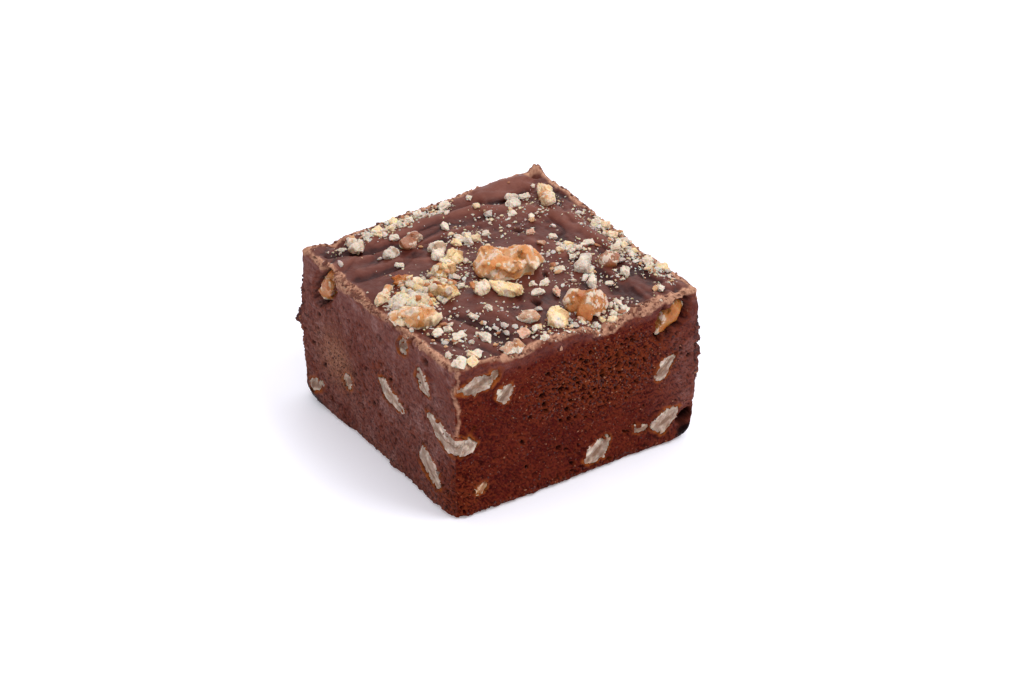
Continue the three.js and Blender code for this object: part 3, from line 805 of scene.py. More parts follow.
@dataclass(frozen=True)
class WalnutFinish:
    """Broken walnut: pale flesh, and a thin veined skin where the mesh says so."""

    vein: Colour = srgb(126, 66, 26)
    bright: Colour = srgb(235, 219, 200)
    broad_shade: Colour = (0.9, 0.79, 0.66)
    fine_shade: Colour = (0.84, 0.72, 0.58)
    dark_streak: Colour = (0.6, 0.46, 0.36)
    ripe_skin: Colour = (0.9, 0.68, 0.4)
    vein_stretch: Triple = (1, 2.4, 1)
    gloss: float = 0.5
    glow: float = 0.35
    glow_depth: float = 0.9
    oily: float = 0.33
    dry: float = 0.6
    grain_relief: float = 0.14
    fine_relief: float = 0.03

    def make(self) -> bpy.types.Material:
        """Makes the material, which reads the flesh and skin colours that each piece's mesh carries.

        Returns:
            The material of the walnut pieces and their crumbs.
        """
        s = Shader("walnut", roughness=self.dry)
        s.surface.inputs["Specular IOR Level"].default_value = self.gloss
        s.surface.inputs["Subsurface Weight"].default_value = self.glow
        s.surface.inputs["Subsurface Scale"].default_value = self.glow_depth * MM
        fine = s.noise(0.28, 3)
        flesh, skin = self.flesh(s, fine), self.skin(s)
        worn = s.plus(s.scaled(s.noise(0.9, 3), -0.45, 0.45), s.scaled(fine, -0.2, 0.2))
        cover = s.between(s.plus(s.attribute("skin"), worn), 0.42, 0.56)
        normal = s.relief(fine, self.grain_relief, s.relief(s.noise(0.11, 1), self.fine_relief))
        return s.finish(s.mix(cover, flesh, skin), normal, s.scaled(cover, self.dry, self.oily))

    def flesh(self, s: Shader, fine: object) -> bpy.types.NodeSocket:
        """The broken flesh, mottled and streaked, and paler on its crests, partly as the cream of broken edges
        and partly as a painted highlight.

        Args:
            s: The material's shader.
            fine: Noise as fine as its grain.

        Returns:
            The colour.
        """
        broad, streak = s.noise(1.5, 3), s.attribute("streak")
        flesh = s.attribute("flesh", colour=True)
        flesh = s.mix(s.between(broad, 0.5, 0.75), flesh, s.mix(0.45, flesh, self.bright))
        flesh = s.mix(s.between(broad, 0.45, 0.3), flesh, s.tinted(flesh, self.broad_shade))
        flesh = s.mix(s.between(fine, 0.44, 0.32), flesh, s.tinted(flesh, self.fine_shade))
        # Paler on the crests: partly the cream of broken edges, partly a painted highlight.
        flesh = s.mix(s.times(s.attribute("crest"), 0.35), flesh, self.bright)
        flesh = s.mix(s.between(streak, 0.1, 0.34), flesh, s.mix(0.75, flesh, self.bright))
        return s.mix(s.between(streak, -0.1, -0.34), flesh, s.tinted(flesh, self.dark_streak))

    def skin(self, s: Shader) -> bpy.types.NodeSocket:
        """The veined skin, with flesh that crumbles through it.

        Args:
            s: The material's shader.

        Returns:
            The colour.
        """
        skin = s.attribute("skin_tone", colour=True)
        skin = s.mix(s.between(s.noise(2.2, 3), 0.52, 0.38), skin, s.tinted(skin, self.ripe_skin))
        vein = s.between(s.noise(0.9, 3, self.vein_stretch), 0.56, 0.7)
        skin = s.mix(s.times(vein, 0.5), skin, self.vein)
        crumbly = s.plus(s.noise(2.2, 6), s.scaled(s.attribute("crest"), -0.05, 0.05))
        return s.mix(s.times(s.between(crumbly, 0.52, 0.58), 0.66), skin, self.bright)


@dataclass(frozen=True)
class FudgeCrumbFinish:
    """Loose crumbs of fudge, lighter than the block because they are dry and rough."""

    shade: Colour = (0.6, 0.55, 0.5)
    dry: float = 0.7
    grain_relief: float = 0.12

    def make(self) -> bpy.types.Material:
        """Makes the material, which reads each crumb's own colour.

        Returns:
            The material of the crumbs of fudge.
        """
        s = Shader("fudge_crumb", roughness=self.dry)
        fine = s.noise(0.3, 3)
        tone = s.attribute("flesh", colour=True)
        colour = s.mix(s.between(fine, 0.35, 0.65), s.tinted(tone, self.shade), tone)
        return s.finish(colour, s.relief(fine, self.grain_relief))


@dataclass(frozen=True)
class Walnut:
    """The flesh and skin colours of a walnut piece."""

    flesh: Colour
    skin: Colour


class Look(Enum):
    """The kinds of walnut that the block shows."""

    PEACH = Walnut(srgb(232, 202, 162), srgb(218, 160, 108))
    AMBER = Walnut(srgb(216, 176, 122), srgb(184, 118, 62))
    GOLD = Walnut(srgb(200, 150, 78), srgb(176, 108, 40))
    YELLOW = Walnut(srgb(234, 204, 150), srgb(206, 154, 92))
    CREAM = Walnut(srgb(226, 200, 160), srgb(212, 162, 116))
    PALE = Walnut(srgb(216, 202, 184), srgb(194, 152, 124))
    GREY = Walnut(srgb(196, 184, 170), srgb(156, 128, 110))
    BROWN = Walnut(srgb(190, 146, 116), srgb(160, 106, 78))
    SALMON = Walnut(srgb(206, 150, 122), srgb(196, 138, 110))
    CUT = Walnut(srgb(144, 119, 102), srgb(140, 68, 26))
    CUT_TAN = Walnut(srgb(172, 120, 66), srgb(150, 84, 34))
    HOLLOW = Walnut(srgb(204, 180, 146), srgb(180, 116, 56))


def store(mesh: bpy.types.Mesh, name: str, values: Array) -> None:
    """Gives a mesh a value or a colour at each vertex.

    Args:
        mesh: The mesh, which is changed.
        name: What the materials call it.
        values: One value for each vertex, or one row of three shares.
    """
    if values.ndim == 1:
        attribute = mesh.attributes.new(name, "FLOAT", "POINT")
        attribute.data.foreach_set("value", values.astype(np.float32))
        return
    attribute = mesh.attributes.new(name, "FLOAT_COLOR", "POINT")
    rows = np.column_stack([values, np.ones(len(values))])
    attribute.data.foreach_set("color", rows.astype(np.float32).ravel())


def read_places(mesh: bpy.types.Mesh) -> Array:
    """The vertices of a mesh, one row each."""
    flat = np.empty(len(mesh.vertices) * 3, np.float32)
    mesh.vertices.foreach_get("co", flat)
    return flat.reshape(-1, 3).astype(float)


def write_places(mesh: bpy.types.Mesh, places: Array) -> None:
    """Moves the vertices of a mesh."""
    mesh.vertices.foreach_set("co", places.astype(np.float32).ravel())
    mesh.update()


def read_normals(mesh: bpy.types.Mesh) -> Array:
    """The vertex normals of a mesh, one row each."""
    flat = np.empty(len(mesh.vertices) * 3, np.float32)
    mesh.vertex_normals.foreach_get("vector", flat)
    return flat.reshape(-1, 3).astype(float)


def crests(mesh: bpy.types.Mesh) -> Array:
    """How far each vertex stands out from its neighbours.

    Args:
        mesh: The mesh.

    Returns:
        The distances, in the mesh's units.
    """
    places, normals = read_places(mesh), read_normals(mesh)
    ends = np.empty(len(mesh.edges) * 2, np.int32)
    mesh.edges.foreach_get("vertices", ends)
    ends = ends.reshape(-1, 2)
    total, count = np.zeros_like(places), np.zeros(len(places))
    for a, b in ((0, 1), (1, 0)):
        np.add.at(total, ends[:, a], places[ends[:, b]])
        np.add.at(count, ends[:, a], 1)
    return np.einsum("ij,ij->i", places - total / np.maximum(count, 1)[:, None], normals)


def object_from(
    name: str, mesh: bpy.types.Mesh, material: bpy.types.Material, slot: str
) -> bpy.types.Object:
    """A finished piece from a mesh in millimetres.

    Args:
        name: The piece's name.
        mesh: Its mesh, in millimetres.
        material: Its one material.
        slot: The name of a material slot; it is not used.

    Returns:
        The object, in metres, riding on the block's body.
    """
    write_places(mesh, read_places(mesh) * MM)
    mesh.shade_smooth()
    mesh.materials.clear()
    mesh.materials.append(material)
    piece = bpy.data.objects.new(name, mesh)
    bpy.context.scene.collection.objects.link(piece)
    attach(piece, BODY)
    return piece


def search_tree(pieces: Iterable[bpy.types.Object]) -> BVHTree:
    """A search tree over several pieces together.

    Args:
        pieces: The pieces' objects, in metres.

    Returns:
        The tree, in millimetres.
    """
    places, faces, start = [], [], 0
    for piece in pieces:
        rows = read_places(piece.data) / MM
        places.extend(map(tuple, rows))
        faces.extend([start + n for n in polygon.vertices] for polygon in piece.data.polygons)
        start += len(rows)
    return BVHTree.FromPolygons(places, faces)


def refined(mesh: bpy.types.Mesh, voxel: float) -> bpy.types.Mesh:
    """Makes a mesh anew from even small faces, so that it can take fine relief.

    Args:
        mesh: The mesh, which stays as it is.
        voxel: About how far across the new faces are.

    Returns:
        The new mesh.
    """
    carrier = bpy.data.objects.new("carrier", mesh)
    bpy.context.scene.collection.objects.link(carrier)
    remesh = carrier.modifiers.new("even", "REMESH")
    remesh.mode = "VOXEL"
    remesh.voxel_size = voxel
    bpy.context.view_layer.update()
    fine = bpy.data.meshes.new_from_object(carrier.evaluated_get(bpy.context.evaluated_depsgraph_get()))
    bpy.data.objects.remove(carrier)
    return fine


@dataclass(frozen=True)
class WalnutPiece:
    """One walnut piece.

    Attributes:
        node: Its node in the solids.
        look: Its colours.
        skin: The share of it that skin covers.
        face: The face of the block that it shows in.
        voxel: About how far across its fine faces are.
        chipping: How deeply it is broken.
    """

    node: str
    look: Look
    skin: float = 0.0
    face: Face = Face.TOP
    voxel: float = 0.2
    chipping: float = 0.8

    def mesh(self) -> bpy.types.Mesh:
        """Makes the piece's fine mesh from its node.

        Returns:
            The mesh, in millimetres, with its colours and its skin.
        """
        bm = bmesh.new()
        bm.from_mesh(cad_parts[self.node].data)
        bmesh.ops.remove_doubles(bm, verts=bm.verts, dist=1e-6)
        bmesh.ops.scale(bm, vec=(1 / MM,) * 3, verts=bm.verts)
        bmesh.ops.recalc_face_normals(bm, faces=bm.faces)
        rough = bpy.data.meshes.new(self.node + "_fine")
        bm.to_mesh(rough)
        bm.free()
        mesh = refined(rough, self.voxel)
        bpy.data.meshes.remove(rough)
        skin = self.skin_cover(mesh)
        tone = self.roughen(mesh, skin)
        store(mesh, "skin", skin)
        store(mesh, "crest", smoothstep(0.0, 0.04, crests(mesh)))
        store(mesh, "streak", self.streaks(mesh))
        store(mesh, "flesh", np.outer(0.8 + 0.44 * tone, self.look.value.flesh))
        store(mesh, "skin_tone", np.tile(self.look.value.skin, (len(mesh.vertices), 1)))
        return mesh

    def skin_cover(self, mesh: bpy.types.Mesh) -> Array:
        """Where the skin lies: on the upper faces of a loose piece, along one edge of a cut one.

        Args:
            mesh: The piece's mesh.

        Returns:
            How strongly it shows at each vertex, from 0 to 1.
        """
        places, normals = read_places(mesh), read_normals(mesh)
        if self.skin == 0:
            return np.zeros(len(places))
        if self.face is Face.TOP or self.look is Look.HOLLOW:
            facing = normals @ self.face.out
            patches = 0.5 + 0.6 * grain(places, 2.3, 1.7) + 0.25 * (chips(places, 2.9, 3)[1] - 0.5)
            return smoothstep(0.0, 0.3, 0.55 * facing + self.skin - patches)
        u, v = self.face.flat(places)
        flat = np.column_stack([u - u.mean(), v - v.mean()])
        across = np.linalg.eigh(flat.T @ flat)[1][:, 0]
        across = across * (1 if across[1] > 0 else -1)
        spread = flat @ across
        towards = spread / np.abs(spread).max() + 0.12 * grain(places, 1.3)
        return smoothstep(1 - self.skin, 1.25 - self.skin, towards)

    def streaks(self, mesh: bpy.types.Mesh) -> Array:
        """The streaks of a cut face, which run along the piece.

        Args:
            mesh: The piece's mesh.

        Returns:
            A value at each vertex, above 0 where it is pale and below 0 where it is dark.
        """
        places = read_places(mesh)
        if self.face is Face.TOP:
            return 0.6 * grain(places, 1.6, 5.5)
        u, v = self.face.flat(places)
        flat = np.column_stack([u - u.mean(), v - v.mean()])
        across, along = (flat @ np.linalg.eigh(flat.T @ flat)[1]).T
        bent = across + 0.5 * grain(places, 2.2, 4.1)
        return 0.5 * noise(bent / 0.75, along / 4.0, 0 * along + 0.5) + 0.2 * grain(places, 0.9, 8.2)

    def roughen(self, mesh: bpy.types.Mesh, skin: Array) -> Array:
        """Breaks up the faces into chips, less where skin covers them; a cut face stays in its plane.

        Args:
            mesh: The piece's mesh, which is changed.
            skin: Where its skin lies.

        Returns:
            Each vertex's tone, from 0 to 1, which goes by its chip.
        """
        places, normals = read_places(mesh), read_normals(mesh)
        bare = 1 - 0.55 * skin
        large, tone = chips(places, 2.9, 3)
        small, fleck = chips(places, 0.9, 11)
        folds = ridges(places, 2.8, 2.2) - 0.45
        broken = self.chipping * (0.75 * large + 0.45 * folds) + bare * 0.2 * small
        shift = normals * (broken + 0.03 * grain(places, 0.5, 7.7))[:, None]
        if self.face is not Face.TOP:
            outward = shift @ self.face.out
            shift = shift - np.outer(outward, self.face.out) * 0.75
        write_places(mesh, places + shift)
        return 0.55 * tone + 0.45 * fleck

    def build(self, material: bpy.types.Material) -> bpy.types.Object:
        """Makes and dresses the piece.

        Args:
            material: The walnut.

        Returns:
            The piece's object, which stands for its node.
        """
        slot = "walnut_skin" if self.skin >= 0.5 else "walnut"
        piece = object_from("looks_" + self.node, self.mesh(), material, slot)
        if self.face is Face.TOP and self.skin < 0.5:
            piece.data.shade_flat()
        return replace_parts(piece, self.node)


@dataclass
class FudgeBlock:
    """The block of fudge, in millimetres.

    Attributes:
        plan_radius: Radius of the upright edges.
        worn_radius: How much rounder the front upright edge is at its foot.
        worn_height: How high up it that wear goes.
        top_radius: How far the sides round over to the top.
        trim: How far below the underside the top's folds would fade out.
        waver: How far the sides waver in and out.
        cells_along: Faces along each side.
        cells_up: Faces up each side.
        even_layers: The share of a side's height that is spread evenly over the solid's layers.
        growing_layers: The share that makes the layers thicker towards the top.
        pit_seed: Seed of the first face's air holes.
        pit_least: The least width of an air hole.
        pit_range: How much wider one may be.
        pit_depth: Depth of the air holes.
        nut_probe: How far below the surface the walnut pieces are searched for.
        nut_search: How far round that point.
        bed_start: How far the fudge over a walnut's face is sunk at its edge.
        bed_slope: How much further it sinks for each millimetre inwards.
        bed_depth: The most that it sinks.
        smear: How far fudge that is smeared over a walnut's edge stands out.
        collar: How far the fudge stands out round a walnut.
        seam_width: Width of the seam round a walnut.
        feet: How high up each side the foot turns under.
        sheen_shares: How much painted sheen each side has, standing for the white surroundings reflected off
            its smoother cut.
        swells: Where the sides stand out or in.
        hollows: The larger holes.
        air: Where the air holes lie.
        sugar_patches: Where the sides are torn and sugary.
        dark_patches: Where the foot is darker: partly painted shade where it turns under and in the hollow by
            the front walnut, partly its own glossy surface.
    """

    plan_radius: float = 1.3
    worn_radius: float = 1.7
    worn_height: float = 11.0
    top_radius: float = 0.7
    trim: float = 0.6
    waver: float = 0.28
    cells_along: int = 167
    cells_up: int = 99
    even_layers: float = 0.65
    growing_layers: float = 0.35
    pit_seed: int = 500
    pit_least: float = 0.42
    pit_range: float = 0.75
    pit_depth: float = 0.75
    nut_probe: float = 0.6
    nut_search: float = 1.6
    bed_start: float = 0.6
    bed_slope: float = 2.5
    bed_depth: float = 1.4
    smear: float = 0.3
    collar: float = 0.22
    seam_width: float = 0.45
    feet: dict[Face, float] = field(
        default_factory=lambda: {Face.LEFT: 1.1, Face.FRONT: 1.3, Face.RIGHT: 5.0, Face.BACK: 4.6}
    )
    sheen_shares: dict[Face, float] = field(
        default_factory=lambda: {Face.LEFT: 0.82, Face.BACK: 0.6, Face.RIGHT: 0.25}
    )
    swells: tuple[Swell, ...] = (
        Swell(Face.LEFT, (-20.5, 1.7), (5.5, 1.5), 0.8),
        Swell(Face.FRONT, (22.6, 1.8), (3.2, 1.6), 0.8),
        Swell(Face.FRONT, (22.4, 4.2), (1.5, 1.0), -0.8),
        Swell(Face.FRONT, (-4, 1.2), (16, 2.4), 0.5),
        Swell(Face.LEFT, (-22, 14), (4, 7), 0.5),
        Swell(Face.RIGHT, (-21, 16.5), (5, 6), 0.6),
        Swell(Face.BACK, (20, 16), (6, 8), 0.6),
        Swell(Face.LEFT, (-22, 27), (5, 3), -0.5),
    )
    hollows: tuple[Dent, ...] = (
        Dent(Face.LEFT, (16, 27.2), (2.2, 1.5), 20, 1.6),
        Dent(Face.LEFT, (-13.1, 26.9), (3.4, 1.9), 75, 2.2),
        Dent(Face.LEFT, (-17.0, 25), (10.2, 5.8), 55, 2.8),
        Dent(Face.FRONT, (17.1, 26.9), (2.8, 1.2), 68, 2.0),
        Dent(Face.FRONT, (19.2, 25.3), (9.0, 5.0), 42, 2.6),
        Dent(Face.FRONT, (22.7, 4.4), (3.8, 2.0), 32, 2.6),
        Dent(Face.TOP, (-1.1, -13.2), (2.6, 1.3), 84, 1.1),
        Dent(Face.TOP, (5.2, -6.9), (2.2, 0.9), 68, 0.9),
        Dent(Face.TOP, (10, 8.6), (2.6, 1.1), -55, 0.8),
        Dent(Face.FRONT, (-2, 12.5), (1.0, 0.9), 0, 0.9),
        Dent(Face.FRONT, (-11.5, 11.3), (1.0, 0.8), 20, 0.9),
        Dent(Face.FRONT, (-6.7, 16), (1.1, 0.7), 0, 0.7),
        Dent(Face.FRONT, (7.7, 22), (1.3, 1.0), 30, 0.9),
        Dent(Face.FRONT, (-3.7, 19), (1.2, 0.8), 0, 0.7),
        Dent(Face.FRONT, (1.5, 22.7), (1.2, 0.9), 10, 0.7),
    )
    air: tuple[Drift, ...] = (
        Drift((5, 19), (17, 7.5), 0, 70, face=Face.FRONT),
        Drift((0, 14), (24, 13), 0, 26, face=Face.FRONT),
        Drift((-8, 13), (18, 11), 0, 44, face=Face.LEFT),
        Drift((2, 16), (20, 10), 0, 40, face=Face.RIGHT),
        Drift((-4, 15), (20, 10), 0, 40, face=Face.BACK),
    )
    sugar_patches: tuple[Patch, ...] = (
        Patch(Face.FRONT, (5, 19.5), (15, 7.5), 0.95),
        Patch(Face.LEFT, (-13.5, 12.5), (5, 5), 0.9),
        Patch(Face.LEFT, (22, 3), (9, 8), 0.6),
        Patch(Face.LEFT, (3, 17.5), (7, 4), 0.5),
        Patch(Face.FRONT, (-23, 4), (5, 8), 0.6),
        Patch(Face.RIGHT, (4, 17), (14, 8), 0.7),
        Patch(Face.BACK, (-6, 16), (13, 8), 0.7),
    )
    # These patches are partly painted shade, where the foot turns under and in the hollow by the front walnut,
    # and partly the foot's own glossy surface.
    dark_patches: tuple[Patch, ...] = (
        Patch(Face.FRONT, (23.2, 1.6), (3.4, 1.9)),
        Patch(Face.FRONT, (22.7, 4.3), (2.2, 1.3)),
        Patch(Face.LEFT, (-21.5, 1.1), (5.5, 1.6)),
        Patch(Face.RIGHT, (17, 1.0), (5, 1.4)),
        Patch(Face.BACK, (-16, 1.0), (5, 1.4)),
    )

    def pits(self) -> list[Dent]:
        """Strews small air holes over the sides.

        Returns:
            The holes, clear of the foot and of the rim.
        """
        holes = []
        for n, drift in enumerate(self.air):
            draw = drawer(self.pit_seed + n)
            for u, z in drift.spots(draw):
                across = self.pit_least + self.pit_range * draw() ** 2
                if 2 < z < HEIGHT - 3:
                    size = (across, across * (0.45 + 0.4 * draw()))
                    holes.append(Dent(drift.face, (u, z), size, 80 * draw() - 40, self.pit_depth))
        return holes

    def blank(self) -> bpy.types.Mesh:
        """Makes the blank that the block is shaped from.

        Returns:
            A cube of side 1 with an even grid on its top and sides and one face below.
        """
        bm = bmesh.new()
        bmesh.ops.create_cube(bm, size=1.0)
        level = [e for e in bm.edges if abs(e.verts[0].co.z - e.verts[1].co.z) < 0.5]
        bmesh.ops.subdivide_edges(bm, edges=level, cuts=self.cells_along - 1, use_grid_fill=True)
        upright = [e for e in bm.edges if abs(e.verts[0].co.z - e.verts[1].co.z) > 0.5]
        bmesh.ops.subdivide_edges(bm, edges=upright, cuts=self.cells_up - 1, use_grid_fill=True)
        under = [f for f in bm.faces if all(v.co.z < -ON_FACE for v in f.verts)]
        bmesh.ops.dissolve_faces(bm, faces=under)
        mesh = bpy.data.meshes.new("fudge_body")
        bm.to_mesh(mesh)
        bm.free()
        return mesh

    def inset(self, face: Face, z: Array) -> Array:
        """How far a side stands in, where it turns under and where it rounds over to the top.

        Args:
            face: The side.
            z: Heights on it.

        Returns:
            The distance in at each height.
        """
        foot = self.feet[face]
        under = foot - np.sqrt(foot**2 - np.clip(foot - z, 0, foot) ** 2)
        over = np.clip(z - (HEIGHT - self.top_radius), 0, self.top_radius)
        return under + self.top_radius - np.sqrt(self.top_radius**2 - over**2)

    def form(self, cube: Array) -> Array:
        """The block's main form, as the solid has it.

        Args:
            cube: Places on the unit cube.

        Returns:
            Their places on the block, in millimetres.
        """
        x, y, z = cube[:, 0] * SIDE, cube[:, 1] * SIDE, (cube[:, 2] + 0.5) * HEIGHT
        wear = np.where((x < 0) & (y < 0), smoothstep(0, self.worn_height, self.worn_height - z), 0.0)
        limit = HALF - self.plan_radius - self.worn_radius * wear
        qx, qy = np.maximum(0, np.abs(x) - limit), np.maximum(0, np.abs(y) - limit)
        corner = (qx > 0) & (qy > 0)
        shrink = np.where(corner, np.maximum(qx, qy) / np.maximum(np.hypot(qx, qy), 1e-9), 1.0)
        px = np.where(corner, np.sign(x) * (limit + qx * shrink), x)
        py = np.where(corner, np.sign(y) * (limit + qy * shrink), y)
        low_x, high_x = self.inset(Face.LEFT, z), self.inset(Face.RIGHT, z)
        low_y, high_y = self.inset(Face.FRONT, z), self.inset(Face.BACK, z)
        qx = low_x - HALF + (px + HALF) / SIDE * (SIDE - low_x - high_x)
        qy = low_y - HALF + (py + HALF) / SIDE * (SIDE - low_y - high_y)
        out = self.waver * noise(x / 4.5 + 7.7, y / 4.5, z / 3.2)
        place = np.column_stack([x, y, z])
        moved = np.column_stack([qx, qy, z])
        for face in UPRIGHT:
            u, v = face.flat(place)
            swell = out + sum(s.height(u, v) for s in self.swells if s.face is face)
            moved += np.outer(np.where(self.on(face, cube), swell, 0.0), face.out)
        depth = (z + self.trim) / (HEIGHT + self.trim)
        even, growing = self.even_layers, self.growing_layers
        share = (np.sqrt(even**2 + 4 * growing * depth) - even) / (2 * growing)
        moved[:, 2] += TOP.relief(moved[:, 0], moved[:, 1]) * np.clip(share, 0, 1) ** 5
        return moved

    @staticmethod
    def on(face: Face, cube: Array) -> Array:
        """Which places on the unit cube lie on a face."""
        return cube @ face.out > ON_FACE

    def crust(self, cube: Array, place: Array) -> Array:
        """Where the torn edge lies: round the top, and down the sharp part of the front upright edge.

        Args:
            cube: Places on the unit cube.
            place: The same places on the block.

        Returns:
            How strongly it shows at each place, from 0 to 1.
        """
        x, y, z = place.T
        top = self.on(Face.TOP, cube).astype(float)
        edge = np.minimum(HALF - np.abs(cube[:, 0] * SIDE), HALF - np.abs(cube[:, 1] * SIDE))
        rim = np.where(top > 0, edge, (0.5 - cube[:, 2]) * HEIGHT)
        lip = bump((13, 0), (7, 99), x, z) * (y < -HALF + 3) + bump((14, 0), (9, 99), y, z) * (x < -HALF + 3)
        width = np.where(top > 0, 0.5, 0.22) + np.where(top > 0, 0.7, 1.2) * lip
        ragged = rim - 0.5 * grain(place, 1.9, 3.0) - 0.3 * grain(place, 0.8, 6.0)
        crust = 1 - smoothstep(width - 0.2, width + 0.3, ragged)
        wander = 0.55 * noise(0 * z + 4.3, 0 * z, z / 3.1) + 0.25 * noise(0 * z + 9.1, 0 * z, z / 1.1)
        corner = np.abs(HALF + x - 0.75 - wander) + np.clip(HALF + y - 0.9, 0, 9)
        sharp = (1 - smoothstep(0.1, 0.4, corner + 0.2 * grain(place, 0.9, 2.0))) * smoothstep(15, 18, z)
        return np.maximum(crust, 0.75 * sharp * (1 - top))

    def sugar(self, cube: Array, place: Array) -> Array:
        """Where the cut fudge is torn and sugary.

        Args:
            cube: Places on the unit cube.
            place: The same places on the block.

        Returns:
            How strongly it shows at each place, from 0 to 1.
        """
        sugary = np.full(len(place), 0.2)
        for patch in self.sugar_patches:
            here = np.maximum(sugary, patch.strength(place))
            sugary = np.where(self.on(patch.face, cube), here, sugary)
        return sugary

    def painted_sheen(self, cube: Array, place: Array, sugary: Array) -> Array:
        """Where the painted sheen lies: a veil that stands for the reflection of the white surroundings on the
        sides that the knife left smooth. It is strongest on the left side, at the right end of the front and
        in a band under the rim.

        Args:
            cube: Places on the unit cube.
            place: The same places on the block.
            sugary: Where it is torn and sugary instead.

        Returns:
            How strongly it shows at each place, from 0 to 1.
        """
        x, y, z = place.T
        # Painted sheen: each side's share of the reflected veil, with more at the front's right end and under
        # the rim.
        sheen_veil = np.full(len(place), 0.03)
        for face, share in self.sheen_shares.items():
            drift = 0.26 * grain(place, 6.0, 5.0) + 0.12 * grain(place, 2.4, 7.0)
            sheen_veil = np.where(self.on(face, cube), share + drift, sheen_veil)
        near_edge = np.exp(-(((HALF + y) / 4) ** 2))
        sheen_veil = sheen_veil * (1 - 0.75 * near_edge * smoothstep(15, 9, z) * (x < -HALF + 3))
        sheen_veil = np.where(self.on(Face.FRONT, cube), sheen_veil + 0.7 * bump((25, 14), (7.5, 11), x, z), sheen_veil)
        return sheen_veil + 0.35 * smoothstep(25.5, 27.5, z + grain(place, 4.0, 2.0)) * (sugary < 0.5)

    def darkness(self, cube: Array, place: Array) -> Array:
        """Where the foot of a side is darker and glossier: partly painted shade where it turns under, partly
        its own moist gloss.

        Args:
            cube: Places on the unit cube.
            place: The same places on the block.

        Returns:
            How strongly it shows at each place, from 0 to 1.
        """
        dark = np.zeros(len(place))
        for patch in self.dark_patches:
            here = smoothstep(0.25, 0.75, patch.strength(place) + 0.2 * grain(place, 1.8, 1.0))
            dark = np.where(self.on(patch.face, cube), np.maximum(dark, here), dark)
        return dark

    def zones(self, cube: Array, place: Array) -> dict[str, Array]:
        """Where each finish shows.

        Args:
            cube: Places on the unit cube.
            place: The same places on the block.

        Returns:
            How strongly each finish shows at each place, from 0 to 1, by its name.
        """
        x, y, z = place.T
        sides = 1 - self.on(Face.TOP, cube).astype(float)
        crust, sugary, dark = self.crust(cube, place), self.sugar(cube, place), self.darkness(cube, place)
        foot = np.exp(-((z / 1.5) ** 2)) * sides
        pale = bump((-13.5, 12.5), (4.5, 4.5), -y, z) * (x < -HALF + 2) * sides
        smooth_band = smoothstep(21.5, 25.5, z + grain(place, 4.0, 2.0)) * (1 - 0.55 * sugary)
        grainy = 0.3 + 0.14 * self.on(Face.LEFT, cube) * smoothstep(20, 12, z)
        rough = np.clip(grainy + 0.75 * sugary - 0.3 * smooth_band + 0.25 * foot, 0, 1) * sides
        return {
            "crust": np.maximum(crust, 0.55 * pale),
            "foot": foot,
            "sugary": sugary * sides,
            "sheen_veil": self.painted_sheen(cube, place, sugary) * sides,
            "dark": dark * (1 - crust),
            "rough": np.maximum(rough * (1 - 0.85 * dark), crust),
        }

    def texture(self, place: Array, cube: Array, zones: dict[str, Array]) -> Array:
        """The fine relief of the surface.

        Args:
            place: Places on the block.
            cube: The same places on the unit cube.
            zones: Where each finish shows.

        Returns:
            How far the surface stands out of its main form at each place.
        """
        x, y, z = place.T
        top, crust = self.on(Face.TOP, cube), zones["crust"]
        rough = zones["rough"] * (1 - crust)
        large, _ = chips(place, 1.5, 5)
        small, _ = chips(place, 0.7, 23)
        sides = rough * (0.16 * large + 0.2 * small + 0.16 * grain(place, 0.8, 1.1))
        sides += 0.12 * grain(place, 3.4, 8.8) + 0.05 * grain(place, 1.3, 3.8)
        holes = np.clip(grain(place, 0.85, 7.1) - 0.42, 0, 1) * 1.9
        pores = holes * np.clip(0.7 + grain(place, 3.0, 9.4), 0, 1)
        sides -= (0.45 + 0.75 * zones["sugary"]) * pores
        tears = np.clip(noise(x / 3.0 + 4.4, y / 3.0, z / 0.5) - 0.2, 0, 1)
        torn_here = np.where(self.on(Face.FRONT, cube), bump((16, 10.5), (7, 4), x, z), 0.12)
        sides -= 0.42 * tears * torn_here * (1 - zones["dark"]) * (1 - crust)
        sides += zones["foot"] * (0.2 * grain(place, 1.1, 2.9) + 0.1 * small + 0.05)
        corner = np.hypot(HALF + x, HALF + y)
        wear = 0.34 * grain(place, 1.7, 6.2) + 0.2 * grain(place, 0.7, 2.2)
        sides += (1 - smoothstep(1.5, 3.0, corner)) * wear
        inward = HALF - np.maximum(np.abs(x), np.abs(y))
        spread = TOP.strokes(x, y) * smoothstep(0.4, 2.0, inward)
        spread += 0.05 * grain(place, 1.6, 4.0) + 0.03 * grain(place, 0.7, 4.4)
        torn = crust * (0.2 * grain(place, 1.0, 9.1) + 0.22 * small + 0.05)
        return np.where(top, spread, sides) + torn

    def burr(self, place: Array, cube: Array) -> Array:
        """The crumbly stretches of the upright edges, where the knife dragged.

        Args:
            place: Places on the block.
            cube: The same places on the unit cube.

        Returns:
            How far they stand out at each place.
        """
        x, y, z = place.T
        at_corner = np.abs(cube[:, 0]) + np.abs(cube[:, 1])
        near = smoothstep(0.965, 1.0, at_corner) * (cube[:, 2] < 0.49)
        right = (x > 0) & (y < 0)
        left = (x < 0) & (y > 0)
        stretch = np.where(right, np.exp(-(((z - 17) / 4.5) ** 2)), 0)
        stretch = stretch + np.where(left, np.exp(-(((z - 17) / 5) ** 2)), 0)
        return near * stretch * (0.4 + 1.1 * grain(place, 1.1, 6.6))

